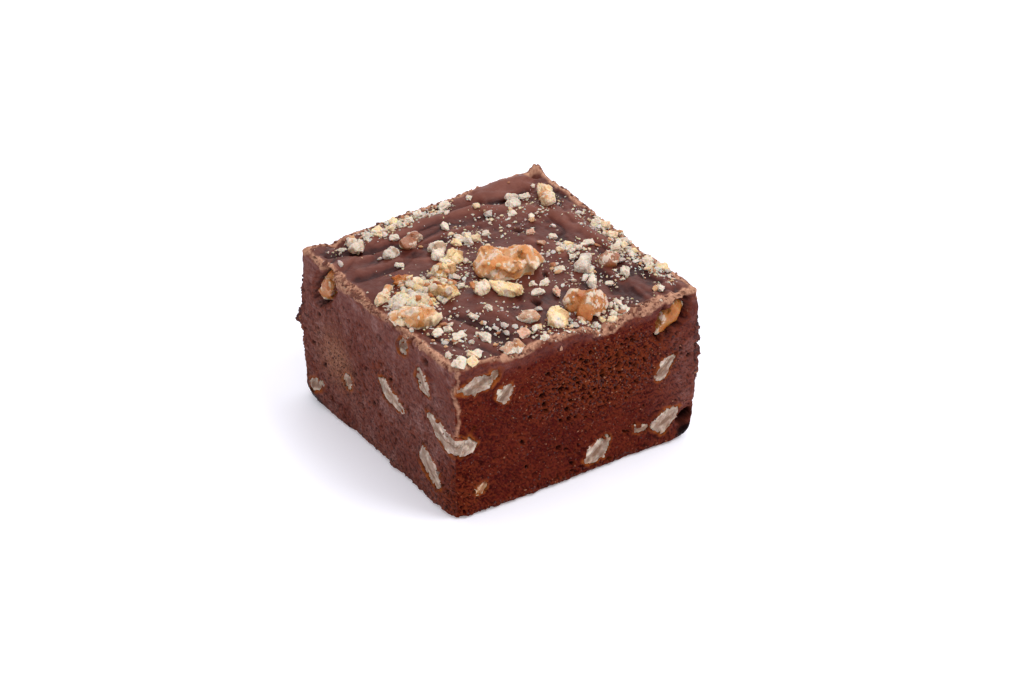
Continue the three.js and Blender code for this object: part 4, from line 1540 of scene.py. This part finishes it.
    def bed(self, place: Array, cube: Array, nuts: dict[Face, BVHTree]) -> tuple[Array, Array]:
        """Fits the cut sides to the walnut pieces that show in them.

        Args:
            place: The block's vertices.
            cube: Their places on the unit cube.
            nuts: The walnut pieces of each side.

        Returns:
            How far each vertex moves in, or out below 0 where fudge is smeared over a piece's edge, and how
            close to a piece it lies, from 0 to 1.
        """
        sink, seam = np.zeros(len(place)), np.zeros(len(place))
        ragged = 0.06 + 0.6 * chips(place, 1.9, 61)[0] + 0.16 * chips(place, 0.8, 67)[0]
        for face in UPRIGHT:
            for n in np.nonzero(self.on(face, cube))[0]:
                spot = Vector(place[n] - face.out * self.nut_probe)
                hit, normal, _, distance = nuts[face].find_nearest(spot, self.nut_search)
                if hit is None:
                    continue
                uncovered = distance - ragged[n]
                if (spot - hit).dot(normal) >= 0:
                    sink[n] = -self.collar * (1 - smoothstep(0.2, 0.9, distance))
                    seam[n] = 1 - min(1.0, distance / self.seam_width)
                elif uncovered > 0:
                    sink[n] = min(self.bed_depth, self.bed_start + self.bed_slope * uncovered)
                    seam[n] = 0.8
                else:
                    sink[n] = -self.smear
                    seam[n] = 0.8
        return sink, seam

    def build(
        self, spread: bpy.types.Material, cut: bpy.types.Material, nuts: dict[Face, BVHTree]
    ) -> bpy.types.Object:
        """Makes and dresses the block.

        Args:
            spread: The chocolate of the top.
            cut: The chocolate of the sides and the underside.
            nuts: The walnut pieces of each side.

        Returns:
            The block's object, which stands for its node.
        """
        mesh = self.blank()
        cube = read_places(mesh)
        place = self.form(cube)
        write_places(mesh, place)
        zones = self.zones(cube, place)
        texture = self.texture(place, cube, zones)
        above = smoothstep(0.0, 0.5, place[:, 2])
        place = place + read_normals(mesh) * ((texture + self.burr(place, cube)) * above)[:, None]
        for dent in (*self.hollows, *self.pits()):
            depth = np.where(self.on(dent.face, cube), dent.depths(place), 0.0)
            place = place - np.outer(depth, dent.face.out)
            # Painted shade: each hollow and air hole is painted darker towards its bottom.
            zones["dark"] = np.maximum(zones["dark"], smoothstep(0.35, 0.9, depth / dent.depth) * 0.95)
        sink, seam = self.bed(place, cube, nuts)
        for face in UPRIGHT:
            place = place - np.outer(np.where(self.on(face, cube), sink, 0.0), face.out)
        write_places(mesh, place)
        zones["seam"] = seam
        # The crest value drives painted light: the hollows are painted darker as shade and the crests lighter
        # as a highlight.
        zones["crest"] = smoothstep(-0.045, 0.045, crests(mesh))
        # Painted light: hill is low in the top's creases and high on its crests, and the top's colour takes
        # painted shade and painted highlight from it.
        zones["hill"] = smoothstep(-0.35, 0.45, texture + self.creases(place))
        for name in ("crust", "sugary", "sheen_veil", "dark", "rough", "seam", "crest", "hill"):
            store(mesh, name, zones[name])
        block = object_from("fudge_body", mesh, spread, "fudge")
        mesh.materials.append(cut)
        middles = np.empty(len(mesh.polygons) * 3, np.float32)
        cube_mesh = self.blank()
        cube_mesh.polygons.foreach_get("center", middles)
        bpy.data.meshes.remove(cube_mesh)
        on_top = middles.reshape(-1, 3)[:, 2] > ON_FACE
        mesh.polygons.foreach_set("material_index", np.where(on_top, 0, 1).astype(np.int32))
        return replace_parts(block, "fudge_block")

    @staticmethod
    def creases(place: Array) -> Array:
        """The folds and creases of the top alone, without its broad rolls."""
        return sum(fold.height(place[:, 0], place[:, 1]) for fold in TOP.folds) * 0.8


TOP_WALNUTS = (
    WalnutPiece("top_walnut_middle", Look.PEACH, 0.85, chipping=1.1),
    WalnutPiece("top_walnut_left_edge", Look.CREAM, 0.5, chipping=1.1),
    WalnutPiece("top_walnut_front", Look.AMBER, 0.85, chipping=1.0),
    WalnutPiece("top_walnut_front_yellow", Look.YELLOW),
    WalnutPiece("top_walnut_front_pale", Look.PALE, 0.2),
    WalnutPiece("top_walnut_wedge", Look.YELLOW),
    WalnutPiece("top_walnut_wedge_side", Look.CREAM),
    WalnutPiece("top_walnut_heap", Look.YELLOW, 0.2),
    WalnutPiece("top_walnut_long", Look.YELLOW, 0.2),
    WalnutPiece("top_walnut_long_end", Look.YELLOW),
    WalnutPiece("top_walnut_white", Look.PALE),
    WalnutPiece("top_walnut_sliver", Look.CREAM, 0.2),
    WalnutPiece("top_walnut_amber", Look.GOLD, 0.8),
    WalnutPiece("top_walnut_cream", Look.CREAM),
    WalnutPiece("top_walnut_corner", Look.PALE, 0.2),
    WalnutPiece("top_walnut_grey", Look.GREY),
    WalnutPiece("top_walnut_grey_slip", Look.GREY),
    WalnutPiece("top_walnut_brown", Look.BROWN, 0.9),
    WalnutPiece("top_walnut_right_slip", Look.GREY),
    WalnutPiece("top_walnut_back", Look.CREAM, 0.25),
    WalnutPiece("top_walnut_back_side", Look.GREY),
    WalnutPiece("top_walnut_tan", Look.BROWN, 0.8),
    WalnutPiece("top_walnut_tan_side", Look.GREY),
    WalnutPiece("top_walnut_back_left", Look.PALE),
)


CUT_SKINS = {
    "left_walnut_long": 0.3,
    "left_walnut_upper": 0.25,
    "left_walnut_lower": 0.3,
    "front_left_walnut": 0.3,
    "front_walnut_upper": 0.25,
    "front_walnut_lower": 0.25,
    "front_walnut_chip": 0.5,
    "right_walnut_long": 0.3,
    "back_walnut_long": 0.3,
}
PLAIN_SKIN = 0.18
HOLLOW_SKIN = 0.7


def cut_look(node: str) -> Look:
    """The look of a walnut piece in a side, by its node's name."""
    if node.endswith("_hollow"):
        return Look.HOLLOW
    return Look.CUT_TAN if node.endswith("_chip") else Look.CUT


def cut_walnuts() -> list[WalnutPiece]:
    """Lists the walnut pieces in the sides, from the solids' nodes.

    Returns:
        The pieces in the order of their names, which tell their sides.
    """
    pieces = []
    for node in sorted(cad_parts):
        if "walnut" not in node or node.startswith("top_"):
            continue
        face = Face.LEFT if node == CORNER_WALNUT else Face[node.split("_")[0].upper()]
        look = cut_look(node)
        skin = HOLLOW_SKIN if look is Look.HOLLOW else CUT_SKINS.get(node, PLAIN_SKIN)
        pieces.append(WalnutPiece(node, look, skin, face, voxel=0.24, chipping=0.9))
    return pieces


@dataclass(frozen=True)
class Crumb:
    """A crumb of the solid: its place on the top, its size and its turn."""

    at: Pair
    size: Triple
    turn: float


@dataclass
class FusedCrumbs:
    """The crumbs of walnut that the solid block carries, at the same places and sizes.

    Attributes:
        points: How many points a crumb's hull is drawn round.
        jitter: How much they differ in how far out they are.
        outward: The share of that which goes outwards.
        fullness: How full the hull is.
        sink: The share of a crumb's thickness that is pressed in.
        drifts: Where crumbs lie together.
        lone: The place, size and turn of each that lies by itself.
        tan_lone: Which of those are tan.
        drift_looks: The looks that those of the drifts take in turn.
        kept_within: How near the solid a crumb's highest point lies where the solid kept it.
    """

    points: int = 8
    jitter: float = 0.34
    outward: float = 0.35
    fullness: float = 1.12
    sink: float = 0.3
    drifts: tuple[Drift, ...] = (
        Drift((-19.5, -1.6), (4.4, 2.2), -20, 11, 2.1),
        Drift((-11, 1.2), (3.6, 1.2), 25, 5, 1.6),
        Drift((-8, -3), (2.6, 1.6), -30, 4, 1.7),
        Drift((-9, 21.6), (8.6, 1.3), 5, 13, 2.0),
        Drift((22.9, -8), (1.5, 9), 0, 12, 1.9),
        Drift((0.2, 10.6), (2.4, 1.9), 0, 7, 1.8),
        Drift((13.1, -2), (2.2, 1.9), 0, 7, 1.8),
        Drift((-21, -23.4), (2.8, 1.1), 8, 5, 2.1),
        Drift((7.5, -23), (3.4, 1.1), 0, 6, 1.7),
    )
    lone: tuple[tuple[Pair, Triple, float], ...] = (
        ((-9.3, -7.6), (3.6, 3, 1.2), 0),
        ((-8.7, -21.3), (3, 2.3, 1.8), 30),
        ((-14.4, -18.4), (3.8, 1.8, 1.3), 74),
        ((-17.8, -15.8), (3, 1.9, 1.3), 10),
        ((-20.6, -13.4), (2.7, 2, 1.4), 25),
        ((-18.6, -13.2), (1.7, 1.4, 1.3), 0),
        ((-18.4, -22.1), (2.2, 1.6, 1.1), 70),
        ((-22.9, -20.4), (2.2, 1.3, 1.1), 60),
        ((-12.6, -11.8), (2.4, 1.2, 1), -65),
        ((-9.3, -11.6), (1.9, 1.1, 1), 80),
        ((1.4, -8.6), (1.7, 1.3, 1.1), 0),
        ((3.6, -9.2), (2.6, 1.6, 1.2), 10),
        ((0.9, -11.2), (2.6, 1.6, 1.2), 0),
        ((3.6, -13), (2.8, 1.3, 1.4), 66),
        ((8.2, -7), (2.4, 1.5, 1), -8),
        ((-17.6, 16.6), (2.6, 1.5, 1.3), 20),
        ((-13.6, 10.2), (2, 1.2, 1), -30),
        ((-10.2, 14), (1.9, 1.3, 1.1), 80),
        ((-6.2, 18.6), (2.7, 2.2, 1.6), 60),
        ((-9.6, 18.3), (2.2, 1.8, 1.4), 0),
        ((-0.4, 16.4), (2.7, 1.5, 1.3), 78),
        ((3.4, 22.6), (3, 2.3, 1.7), 30),
        ((8.4, 22.2), (1.8, 1.2, 1.2), 75),
        ((4.6, 10.6), (1.9, 1.5, 1.3), 0),
        ((11.2, 6.3), (2, 1.5, 1.2), 0),
        ((13.3, 2.6), (1.7, 1.5, 1.2), 0),
        ((12, 13.6), (2.1, 1.6, 1.2), 20),
        ((14.4, 11), (1.7, 1.3, 1.1), 60),
        ((17.2, 17.2), (2.5, 1.4, 1.4), 0),
        ((22.6, 2.6), (2.5, 2.1, 1.5), 0),
        ((17.4, -2.5), (2.8, 1.6, 1.2), -10),
        ((20.4, -6.4), (2.3, 2, 1.5), 0),
        ((12.4, -5), (1.6, 1.3, 1.1), 0),
        ((13.2, -15), (1.8, 1.2, 1), -20),
        ((10.2, -21.6), (2.4, 1.2, 1.2), 84),
        ((19, -21.6), (2, 1.3, 1.1), 70),
        ((-6.2, -20.9), (1.8, 1.3, 1.1), 30),
        ((-6.4, -23.9), (1.7, 1.2, 1.1), 0),
    )
    tan_lone: tuple[int, ...] = (0, 1, 13, 24)
    drift_looks: tuple[Look, ...] = (Look.CREAM, Look.PALE, Look.GREY, Look.PALE, Look.YELLOW)
    kept_within: float = 0.05

    def places(self) -> list[tuple[Crumb, int, Look]]:
        """Lists the crumbs in the order that the solid was made in.

        Returns:
            Every crumb with the seed of its shape and its look.
        """
        made = []
        for n, row in enumerate(self.lone):
            made.append((Crumb(*row), 900 + n, Look.SALMON if n in self.tan_lone else Look.PALE))
        for k, drift in enumerate(self.drifts):
            draw = drawer(40 + k)
            c, s = math.cos(math.radians(drift.turn)), math.sin(math.radians(drift.turn))
            for n in range(drift.count):
                angle = GOLDEN_ANGLE * n
                out = math.sqrt((n + 0.5) / drift.count) * (0.85 + 0.3 * draw())
                u, v = drift.reach[0] * out * math.cos(angle), drift.reach[1] * out * math.sin(angle)
                at = (drift.at[0] + u * c - v * s, drift.at[1] + u * s + v * c)
                length = drift.size * (0.75 + 0.6 * draw())
                size = (length, length * (0.6 + 0.3 * draw()), length * (0.5 + 0.25 * draw()))
                look = self.drift_looks[(n + k) % len(self.drift_looks)]
                made.append((Crumb(at, size, 360 * draw()), 2000 + 50 * k + n, look))
        return made

    def corners(self, crumb: Crumb, seed: int) -> list[Vector]:
        """The points that a crumb's hull is drawn round.

        Args:
            crumb: The crumb.
            seed: The seed of its shape.

        Returns:
            The points, in millimetres.
        """
        draw = drawer(seed)
        turn = Matrix.Rotation(math.radians(crumb.turn), 4, "Z")
        level = level_at(*crumb.at) + crumb.size[2] * (0.5 - self.sink)
        matrix = Matrix.Translation((*crumb.at, level)) @ turn
        points = []
        for n in range(self.points):
            z = 1 - 2 * (n + 0.5) / self.points
            ring = math.sqrt(1 - z * z)
            out = self.fullness * (1 + self.jitter * (self.outward - draw()))
            angle = GOLDEN_ANGLE * n
            local = Vector((ring * math.cos(angle), ring * math.sin(angle), z)) * out
            points.append(matrix @ Vector(a * b / 2 for a, b in zip(local, crumb.size)))
        return points

    @staticmethod
    def hull(bm: bmesh.types.BMesh, points: list[Vector]) -> list[bmesh.types.BMVert]:
        """Adds one crumb, as a hull round its points, cut into small faces.

        Args:
            bm: The mesh that it is added to.
            points: The crumb's points.

        Returns:
            The crumb's vertices.
        """
        corners = [bm.verts.new(point) for point in points]
        made = bmesh.ops.convex_hull(bm, input=corners)
        faces = [g for g in made["geom"] if isinstance(g, bmesh.types.BMFace)]
        edges = list({e for f in faces for e in f.edges})
        cut = bmesh.ops.subdivide_edges(bm, edges=edges, cuts=4, use_grid_fill=True)
        return list({v for g in cut["geom"] if isinstance(g, bmesh.types.BMFace) for v in g.verts})

    def build(self, material: bpy.types.Material, solid: BVHTree) -> bpy.types.Object:
        """All of the fused crumbs as one piece.

        Args:
            material: The walnut.
            solid: The solid block, which tells which crumbs it kept.

        Returns:
            The crumbs' object.
        """
        bm = bmesh.new()
        flesh = bm.verts.layers.float_color.new("flesh")
        for crumb, seed, look in self.places():
            points = self.corners(crumb, seed)
            if solid.find_nearest(max(points, key=lambda p: p.z))[3] > self.kept_within:
                continue
            for vertex in self.hull(bm, points):
                vertex[flesh] = (*look.value.flesh, 1.0)
        bmesh.ops.recalc_face_normals(bm, faces=bm.faces)
        mesh = bpy.data.meshes.new("walnut_crumbs")
        bm.to_mesh(mesh)
        bm.free()
        place = read_places(mesh)
        large, tone = chips(place, 1.0, 31)
        small, fleck = chips(place, 0.5, 47)
        out = 0.17 * large + 0.13 * small + 0.04
        write_places(mesh, place + read_normals(mesh) * out[:, None])
        store(mesh, "crest", smoothstep(0.0, 0.04, crests(mesh)))
        colours = np.empty(len(mesh.vertices) * 4, np.float32)
        mesh.attributes["flesh"].data.foreach_get("color", colours)
        colours = colours.reshape(-1, 4)
        colours[:, :3] *= (0.74 + 0.25 * tone + 0.25 * fleck)[:, None]
        mesh.attributes["flesh"].data.foreach_set("color", colours.ravel())
        piece = object_from("walnut_crumbs", mesh, material, "walnut")
        mesh.shade_flat()
        return piece


@dataclass(frozen=True)
class Kind:
    """One kind of strewn crumb: its sizes, its tones, where it lies, and how.

    Attributes:
        name: The piece's name.
        smallest: The least length.
        largest: The greatest length.
        tones: The colours that it is drawn from.
        drifts: Where it lies.
        seed: The seed of its draws.
        points: How many points a shard's hull is drawn round.
        sink: The share of its thickness that is pressed in.
        clinging: The share of those over a walnut piece that lie on it.
        slot: The record's material slot that it takes its finish from.
    """

    name: str
    smallest: float
    largest: float
    tones: tuple[Colour, ...]
    drifts: tuple[Drift, ...]
    seed: int
    points: int = 12
    sink: float = 0.25
    clinging: float = 0.12
    slot: str = "walnut"


@dataclass(frozen=True)
class Strewing:
    """Strews crumbs over whatever lies uppermost, each kind as one piece.

    Attributes:
        fudge: The search tree of the block.
        walnuts: The search tree of the walnut pieces in its top.
        shapes: How many different shards a kind has.
        small_bias: Above 1, more of the crumbs are small.
        narrowest: The least width, as a share of the length.
        width_range: How much wider a crumb may be.
        thinnest: The least thickness, as a share of the length.
        thickness_range: How much thicker a crumb may be.
        lean: How far a crumb may lean, both ways together, in radians.
        overhang: How far outside the block's square a crumb may lie.
        lowest: The least height at which a crumb of the top may lie.
        steepest: How squarely the block has to face a crumb, from 0 to 1.
        steepest_on_nut: How squarely a walnut piece has to.
    """

    fudge: BVHTree
    walnuts: BVHTree
    shapes: int = 12
    small_bias: float = 2.2
    narrowest: float = 0.5
    width_range: float = 0.4
    thinnest: float = 0.24
    thickness_range: float = 0.34
    lean: float = 0.6
    overhang: float = 1.0
    lowest: float = HEIGHT - 4
    steepest: float = 0.2
    steepest_on_nut: float = 0.4

    def templates(self, kind: Kind) -> list[bpy.types.Mesh]:
        """Makes the angular shards that a kind's crumbs are copied from.

        Args:
            kind: The kind.

        Returns:
            The shards' meshes, each about 1 across.
        """
        shards = []
        for n in range(self.shapes):
            draw = drawer(kind.seed + 31 * n)
            bm = bmesh.new()
            for k in range(kind.points):
                level = 1 - 2 * (k + 0.5) / kind.points
                ring = math.sqrt(1 - level * level)
                angle = GOLDEN_ANGLE * k + 1.2 * draw()
                out = 0.36 + 0.22 * draw()
                bm.verts.new((out * ring * math.cos(angle), out * ring * math.sin(angle), out * level))
            made = bmesh.ops.convex_hull(bm, input=bm.verts)
            inside = [g for g in made["geom_interior"] if isinstance(g, bmesh.types.BMVert)]
            bmesh.ops.delete(bm, geom=inside, context="VERTS")
            mesh = bpy.data.meshes.new(f"{kind.name}_shard")
            bm.to_mesh(mesh)
            bm.free()
            shards.append(mesh)
        return shards

    def rest(self, face: Face, u: float, v: float, cling: bool) -> tuple[Vector, Vector] | None:
        """Where a crumb that meets a face comes to rest.

        Args:
            face: The face.
            u: Where on the face, along it.
            v: Where on the face, up it.
            cling: Whether it may lie on a walnut piece.

        Returns:
            The place and the way that the ground faces there, or nothing where no crumb stays.
        """
        start = Vector(2 * SIDE * face.out + u * face.along + v * face.rising)
        way = Vector(-face.out)
        hit, normal, _, distance = self.fudge.ray_cast(start, way)
        if hit is None or normal.dot(way) > -self.steepest or (face is Face.TOP and hit.z < self.lowest):
            return None
        nut, nut_normal, _, nut_distance = self.walnuts.ray_cast(start, way)
        if nut is None or nut_distance > distance:
            return hit, normal
        return (nut, nut_normal) if cling and nut_normal.dot(way) < -self.steepest_on_nut else None

    @staticmethod
    def laid(spot: Vector, facing: Vector, sizes: Triple, turn: float, lean: float, sink: float) -> Matrix:
        """How a shard is sized, turned and moved to lie on the ground.

        Args:
            spot: Where it lies.
            facing: The way that the ground faces there.
            sizes: Its length, width and thickness.
            turn: Its turn about the way that the ground faces.
            lean: How far it leans.
            sink: The share of its thickness that is pressed in.

        Returns:
            The matrix that the shard's mesh is transformed by.
        """
        matrix = Matrix.Translation(spot + facing * (sizes[2] * (0.5 - sink)))
        matrix = matrix @ facing.to_track_quat("Z", "Y").to_matrix().to_4x4()
        matrix = matrix @ Matrix.Rotation(turn, 4, "Z") @ Matrix.Rotation(lean, 4, "X")
        return matrix @ Matrix.Diagonal((*sizes, 1))

    def build(self, kind: Kind, material: bpy.types.Material) -> bpy.types.Object:
        """Strews every crumb of a kind.

        Args:
            kind: The kind.
            material: Its material.

        Returns:
            The crumbs, joined into one piece.
        """
        shards = self.templates(kind)
        draw = drawer(kind.seed)
        bm = bmesh.new()
        for drift in kind.drifts:
            for u, v in drift.spots(draw):
                share = draw() ** self.small_bias
                length = (kind.smallest + (kind.largest - kind.smallest) * share) * drift.size
                width = length * (self.narrowest + self.width_range * draw())
                thickness = length * (self.thinnest + self.thickness_range * draw())
                turn, lean = 2 * math.pi * draw(), self.lean * (draw() - 0.5)
                shard, tone = shards[int(len(shards) * draw())], kind.tones[int(len(kind.tones) * draw())]
                ground = self.rest(drift.face, u, v, draw() < kind.clinging)
                if ground is None or max(abs(ground[0].x), abs(ground[0].y)) > HALF + self.overhang:
                    continue
                crumb = shard.copy()
                crumb.transform(self.laid(*ground, (length, width, thickness), turn, lean, kind.sink))
                store(crumb, "flesh", np.tile(tone, (len(crumb.vertices), 1)))
                bm.from_mesh(crumb)
                bpy.data.meshes.remove(crumb)
        mesh = bpy.data.meshes.new(kind.name)
        bm.to_mesh(mesh)
        bm.free()
        for shard in shards:
            bpy.data.meshes.remove(shard)
        piece = object_from(kind.name, mesh, material, kind.slot)
        mesh.shade_flat()
        return piece


NUT_WHITES = (srgb(214, 202, 192), srgb(190, 177, 168), srgb(218, 194, 160), srgb(204, 186, 168))
NUT_TANS = (srgb(200, 152, 110), srgb(168, 112, 78))
GRIT = Kind(
    name="walnut_grit",
    smallest=0.6,
    largest=1.9,
    tones=(*NUT_WHITES, *NUT_WHITES, *NUT_TANS),
    drifts=(
        Drift((-15.5, -1), (8, 4.6), 15, 190, 1.1),
        Drift((-20, -12), (4.5, 6), 0, 26),
        Drift((-12, -17), (11, 7), 0, 40),
        Drift((0, 0), (30, 30), 0, 60),
        Drift((3, -22), (10, 3), 0, 60),
        Drift((22.5, -6), (2, 15), 0, 90),
        Drift((13, -8), (8, 9), 0, 40),
        Drift((-8, 21.8), (13, 2.0), 4, 90),
        Drift((-1, 3), (8, 9), 0, 34),
        Drift((12, 14), (9, 5), 0, 20),
    ),
    seed=7,
    points=18,
)
FLOUR = Kind(
    name="walnut_flour",
    smallest=0.2,
    largest=0.8,
    tones=NUT_WHITES,
    drifts=(
        Drift((0, 0), (33, 33), 0, 300),
        Drift((-15, -0.5), (9, 5.4), 15, 300),
        Drift((-15, -15), (11, 10), 0, 170),
        Drift((3, -22), (11, 3.2), 0, 220),
        Drift((5, -19.5), (5, 4.5), 0, 120),
        Drift((22, -6), (3, 16), 0, 420),
        Drift((13, -8), (8, 10), 0, 240),
        Drift((-8, 21.8), (14, 2.6), 4, 380),
        Drift((-1, 0), (7.5, 7.5), 0, 300),
        Drift((10, 13), (10, 6), 0, 130),
        Drift((0, 11), (5, 4), 0, 90),
        Drift((19, 14), (4, 4), 0, 60),
    ),
    seed=19,
)
CHIP_TONES = (
    srgb(228, 200, 150), srgb(234, 212, 172), srgb(206, 146, 98), srgb(212, 196, 172), srgb(180, 112, 62),
)
CHIPS = Kind(
    name="walnut_chips",
    smallest=1.3,
    largest=3.0,
    tones=CHIP_TONES,
    drifts=(
        Drift((-15.5, -0.8), (7.4, 3.8), 15, 60),
        Drift((-10, 3.4), (4.5, 1.8), 20, 12),
        Drift((-4.5, -4.5), (3.5, 1.6), 0, 5, 0.8),
    ),
    seed=83,
    points=22,
    clinging=0.5,
)
RIM_BROWNS = (srgb(158, 106, 82), srgb(138, 84, 62), srgb(182, 132, 106), srgb(112, 60, 42))
RIM = Kind(
    name="fudge_crumbs",
    smallest=0.3,
    largest=1.1,
    tones=RIM_BROWNS,
    drifts=(
        Drift((0, -24.7), (26, 0.4), 0, 120),
        Drift((-24.7, 0), (0.4, 26), 0, 120),
        Drift((24.4, -2), (0.8, 22), 0, 160),
        Drift((-6, 24.3), (18, 0.8), 0, 160),
        Drift((-24.3, 10), (0.9, 9), 0, 80, 1.6),
        Drift((12, -24.2), (8, 0.8), 0, 40, 1.4),
    ),
    seed=43,
    slot="fudge",
    sink=0.35,
)
SIDE_BROWNS = (srgb(92, 30, 18), srgb(74, 18, 12), srgb(108, 48, 30), srgb(60, 12, 8))
SIDES = Kind(
    name="side_crumbs",
    smallest=0.18,
    largest=0.6,
    tones=(*SIDE_BROWNS, *SIDE_BROWNS, srgb(150, 94, 64)),
    drifts=(
        Drift((5, 19), (17, 7), 0, 1000, 1.0, Face.FRONT),
        Drift((0, 14), (26, 14), 0, 700, 0.9, Face.FRONT),
        Drift((0, 1.0), (23, 0.9), 0, 240, 1.0, Face.FRONT),
        Drift((24.7, 17.5), (0.6, 6.5), 0, 150, 2.0, Face.FRONT),
        Drift((-13, 12), (6, 6), 0, 260, 0.9, Face.LEFT),
        Drift((0, 13), (26, 13), 0, 420, 0.8, Face.LEFT),
        Drift((2, 1.0), (22, 0.9), 0, 200, 1.0, Face.LEFT),
        Drift((-24.7, 15), (0.6, 9), 0, 150, 1.9, Face.LEFT),
        Drift((4, 16), (22, 11), 0, 600, 0.9, Face.RIGHT),
        Drift((-4, 15), (22, 11), 0, 600, 0.9, Face.BACK),
    ),
    seed=61,
    slot="fudge",
    sink=0.4,
)


@dataclass(frozen=True)
class Softbox:
    """One square light: its place, its size and its power."""

    name: str
    at: Triple
    size: float
    power: float


@dataclass(frozen=True)
class Studio:
    """The plain studio: the photograph's camera, a pale floor and soft lights, in metres."""

    eye: Triple = (-0.2404, -0.3673, 0.2844)
    target: Triple = (0.00199, -0.0015, 0.01454)
    lens: float = 103.45
    sky: float = 0.78
    floor_colour: Colour = (0.9, 0.9, 0.97)
    floor_glow: float = 0.21
    floor_size: float = 2.0
    sky_colour: Colour = (0.97, 0.96, 1.0)
    film_width: float = 36.0
    nearest: float = 0.01
    lit_point: Triple = (0, 0, 0.015)
    lights: tuple[Softbox, ...] = (
        Softbox("key", (0.24, 0.3, 1.05), 0.8, 3.0),
        Softbox("front", (0.4, -0.52, 0.9), 0.4, 5.0),
        Softbox("back", (0.75, 1.05, 0.62), 0.6, 1.5),
    )

    def camera(self) -> None:
        """Sets the camera at the photograph's place and lens."""
        data = bpy.data.cameras.new("camera")
        data.lens = self.lens
        data.sensor_width = self.film_width
        data.clip_start = self.nearest
        camera = bpy.data.objects.new("camera", data)
        bpy.context.scene.collection.objects.link(camera)
        camera.location = self.eye
        camera.rotation_euler = (Vector(self.target) - Vector(self.eye)).to_track_quat("-Z", "Y").to_euler()
        bpy.context.scene.camera = camera

    def light(self, box: Softbox) -> None:
        """Sets up a light that faces the block.

        Args:
            box: The light.
        """
        data = bpy.data.lights.new(box.name, "AREA")
        data.size = box.size
        data.energy = box.power
        lamp = bpy.data.objects.new(box.name, data)
        bpy.context.scene.collection.objects.link(lamp)
        lamp.location = box.at
        lamp.rotation_euler = (Vector(self.lit_point) - Vector(box.at)).to_track_quat("-Z", "Y").to_euler()

    def build(self) -> None:
        """Floor, sky and lights."""
        scene = bpy.context.scene
        scene.view_settings.view_transform = "Standard"
        scene.view_settings.look = "None"
        world = bpy.data.worlds.new("sky")
        world.use_nodes = True
        background = world.node_tree.nodes["Background"]
        background.inputs["Color"].default_value = (*self.sky_colour, 1.0)
        background.inputs["Strength"].default_value = self.sky
        scene.world = world
        bm = bmesh.new()
        bmesh.ops.create_grid(bm, x_segments=1, y_segments=1, size=self.floor_size)
        mesh = bpy.data.meshes.new("floor")
        bm.to_mesh(mesh)
        bm.free()
        floor = bpy.data.objects.new("floor", mesh)
        scene.collection.objects.link(floor)
        shader = Shader("floor_white", roughness=0.9)
        shader.surface.inputs["Emission Color"].default_value = (1, 1, 1, 1)
        shader.surface.inputs["Emission Strength"].default_value = self.floor_glow
        mesh.materials.append(shader.finish(self.floor_colour))
        for box in self.lights:
            self.light(box)


def main() -> None:
    """Builds the studio, the walnuts, the block and the crumbs, in that order."""
    logging.basicConfig(level=logging.INFO, format="%(name)s: %(message)s")
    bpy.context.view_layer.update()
    studio = Studio()
    studio.camera()
    studio.build()
    walnut = WalnutFinish().make()
    sides = cut_walnuts()
    cut = {piece.node: piece.build(walnut) for piece in sides}
    LOG.info("%d walnut pieces in the sides", len(cut))
    loose = [piece.build(walnut) for piece in TOP_WALNUTS]
    LOG.info("%d walnut pieces in the top", len(loose))
    beds = {}
    for face in UPRIGHT:
        shown = [cut[piece.node] for piece in sides if piece.face is face and piece.look is not Look.HOLLOW]
        if face is Face.FRONT:
            shown.append(cut[CORNER_WALNUT])
        beds[face] = search_tree(shown)
    block = FudgeBlock().build(SpreadFinish().make(), CutFinish().make(), beds)
    LOG.info("block of %d faces", len(block.data.polygons))
    fused = FusedCrumbs().build(walnut, search_tree([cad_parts["fudge_block"]]))
    LOG.info("fused crumbs of %d faces", len(fused.data.polygons))
    strewing = Strewing(search_tree([block]), search_tree(loose))
    crumb_finish = FudgeCrumbFinish().make()
    for kind in (CHIPS, GRIT, FLOUR, RIM, SIDES):
        piece = strewing.build(kind, walnut if kind.slot == "walnut" else crumb_finish)
        LOG.info("%s of %d faces", kind.name, len(piece.data.polygons))


if __name__ == "__main__":
    main()
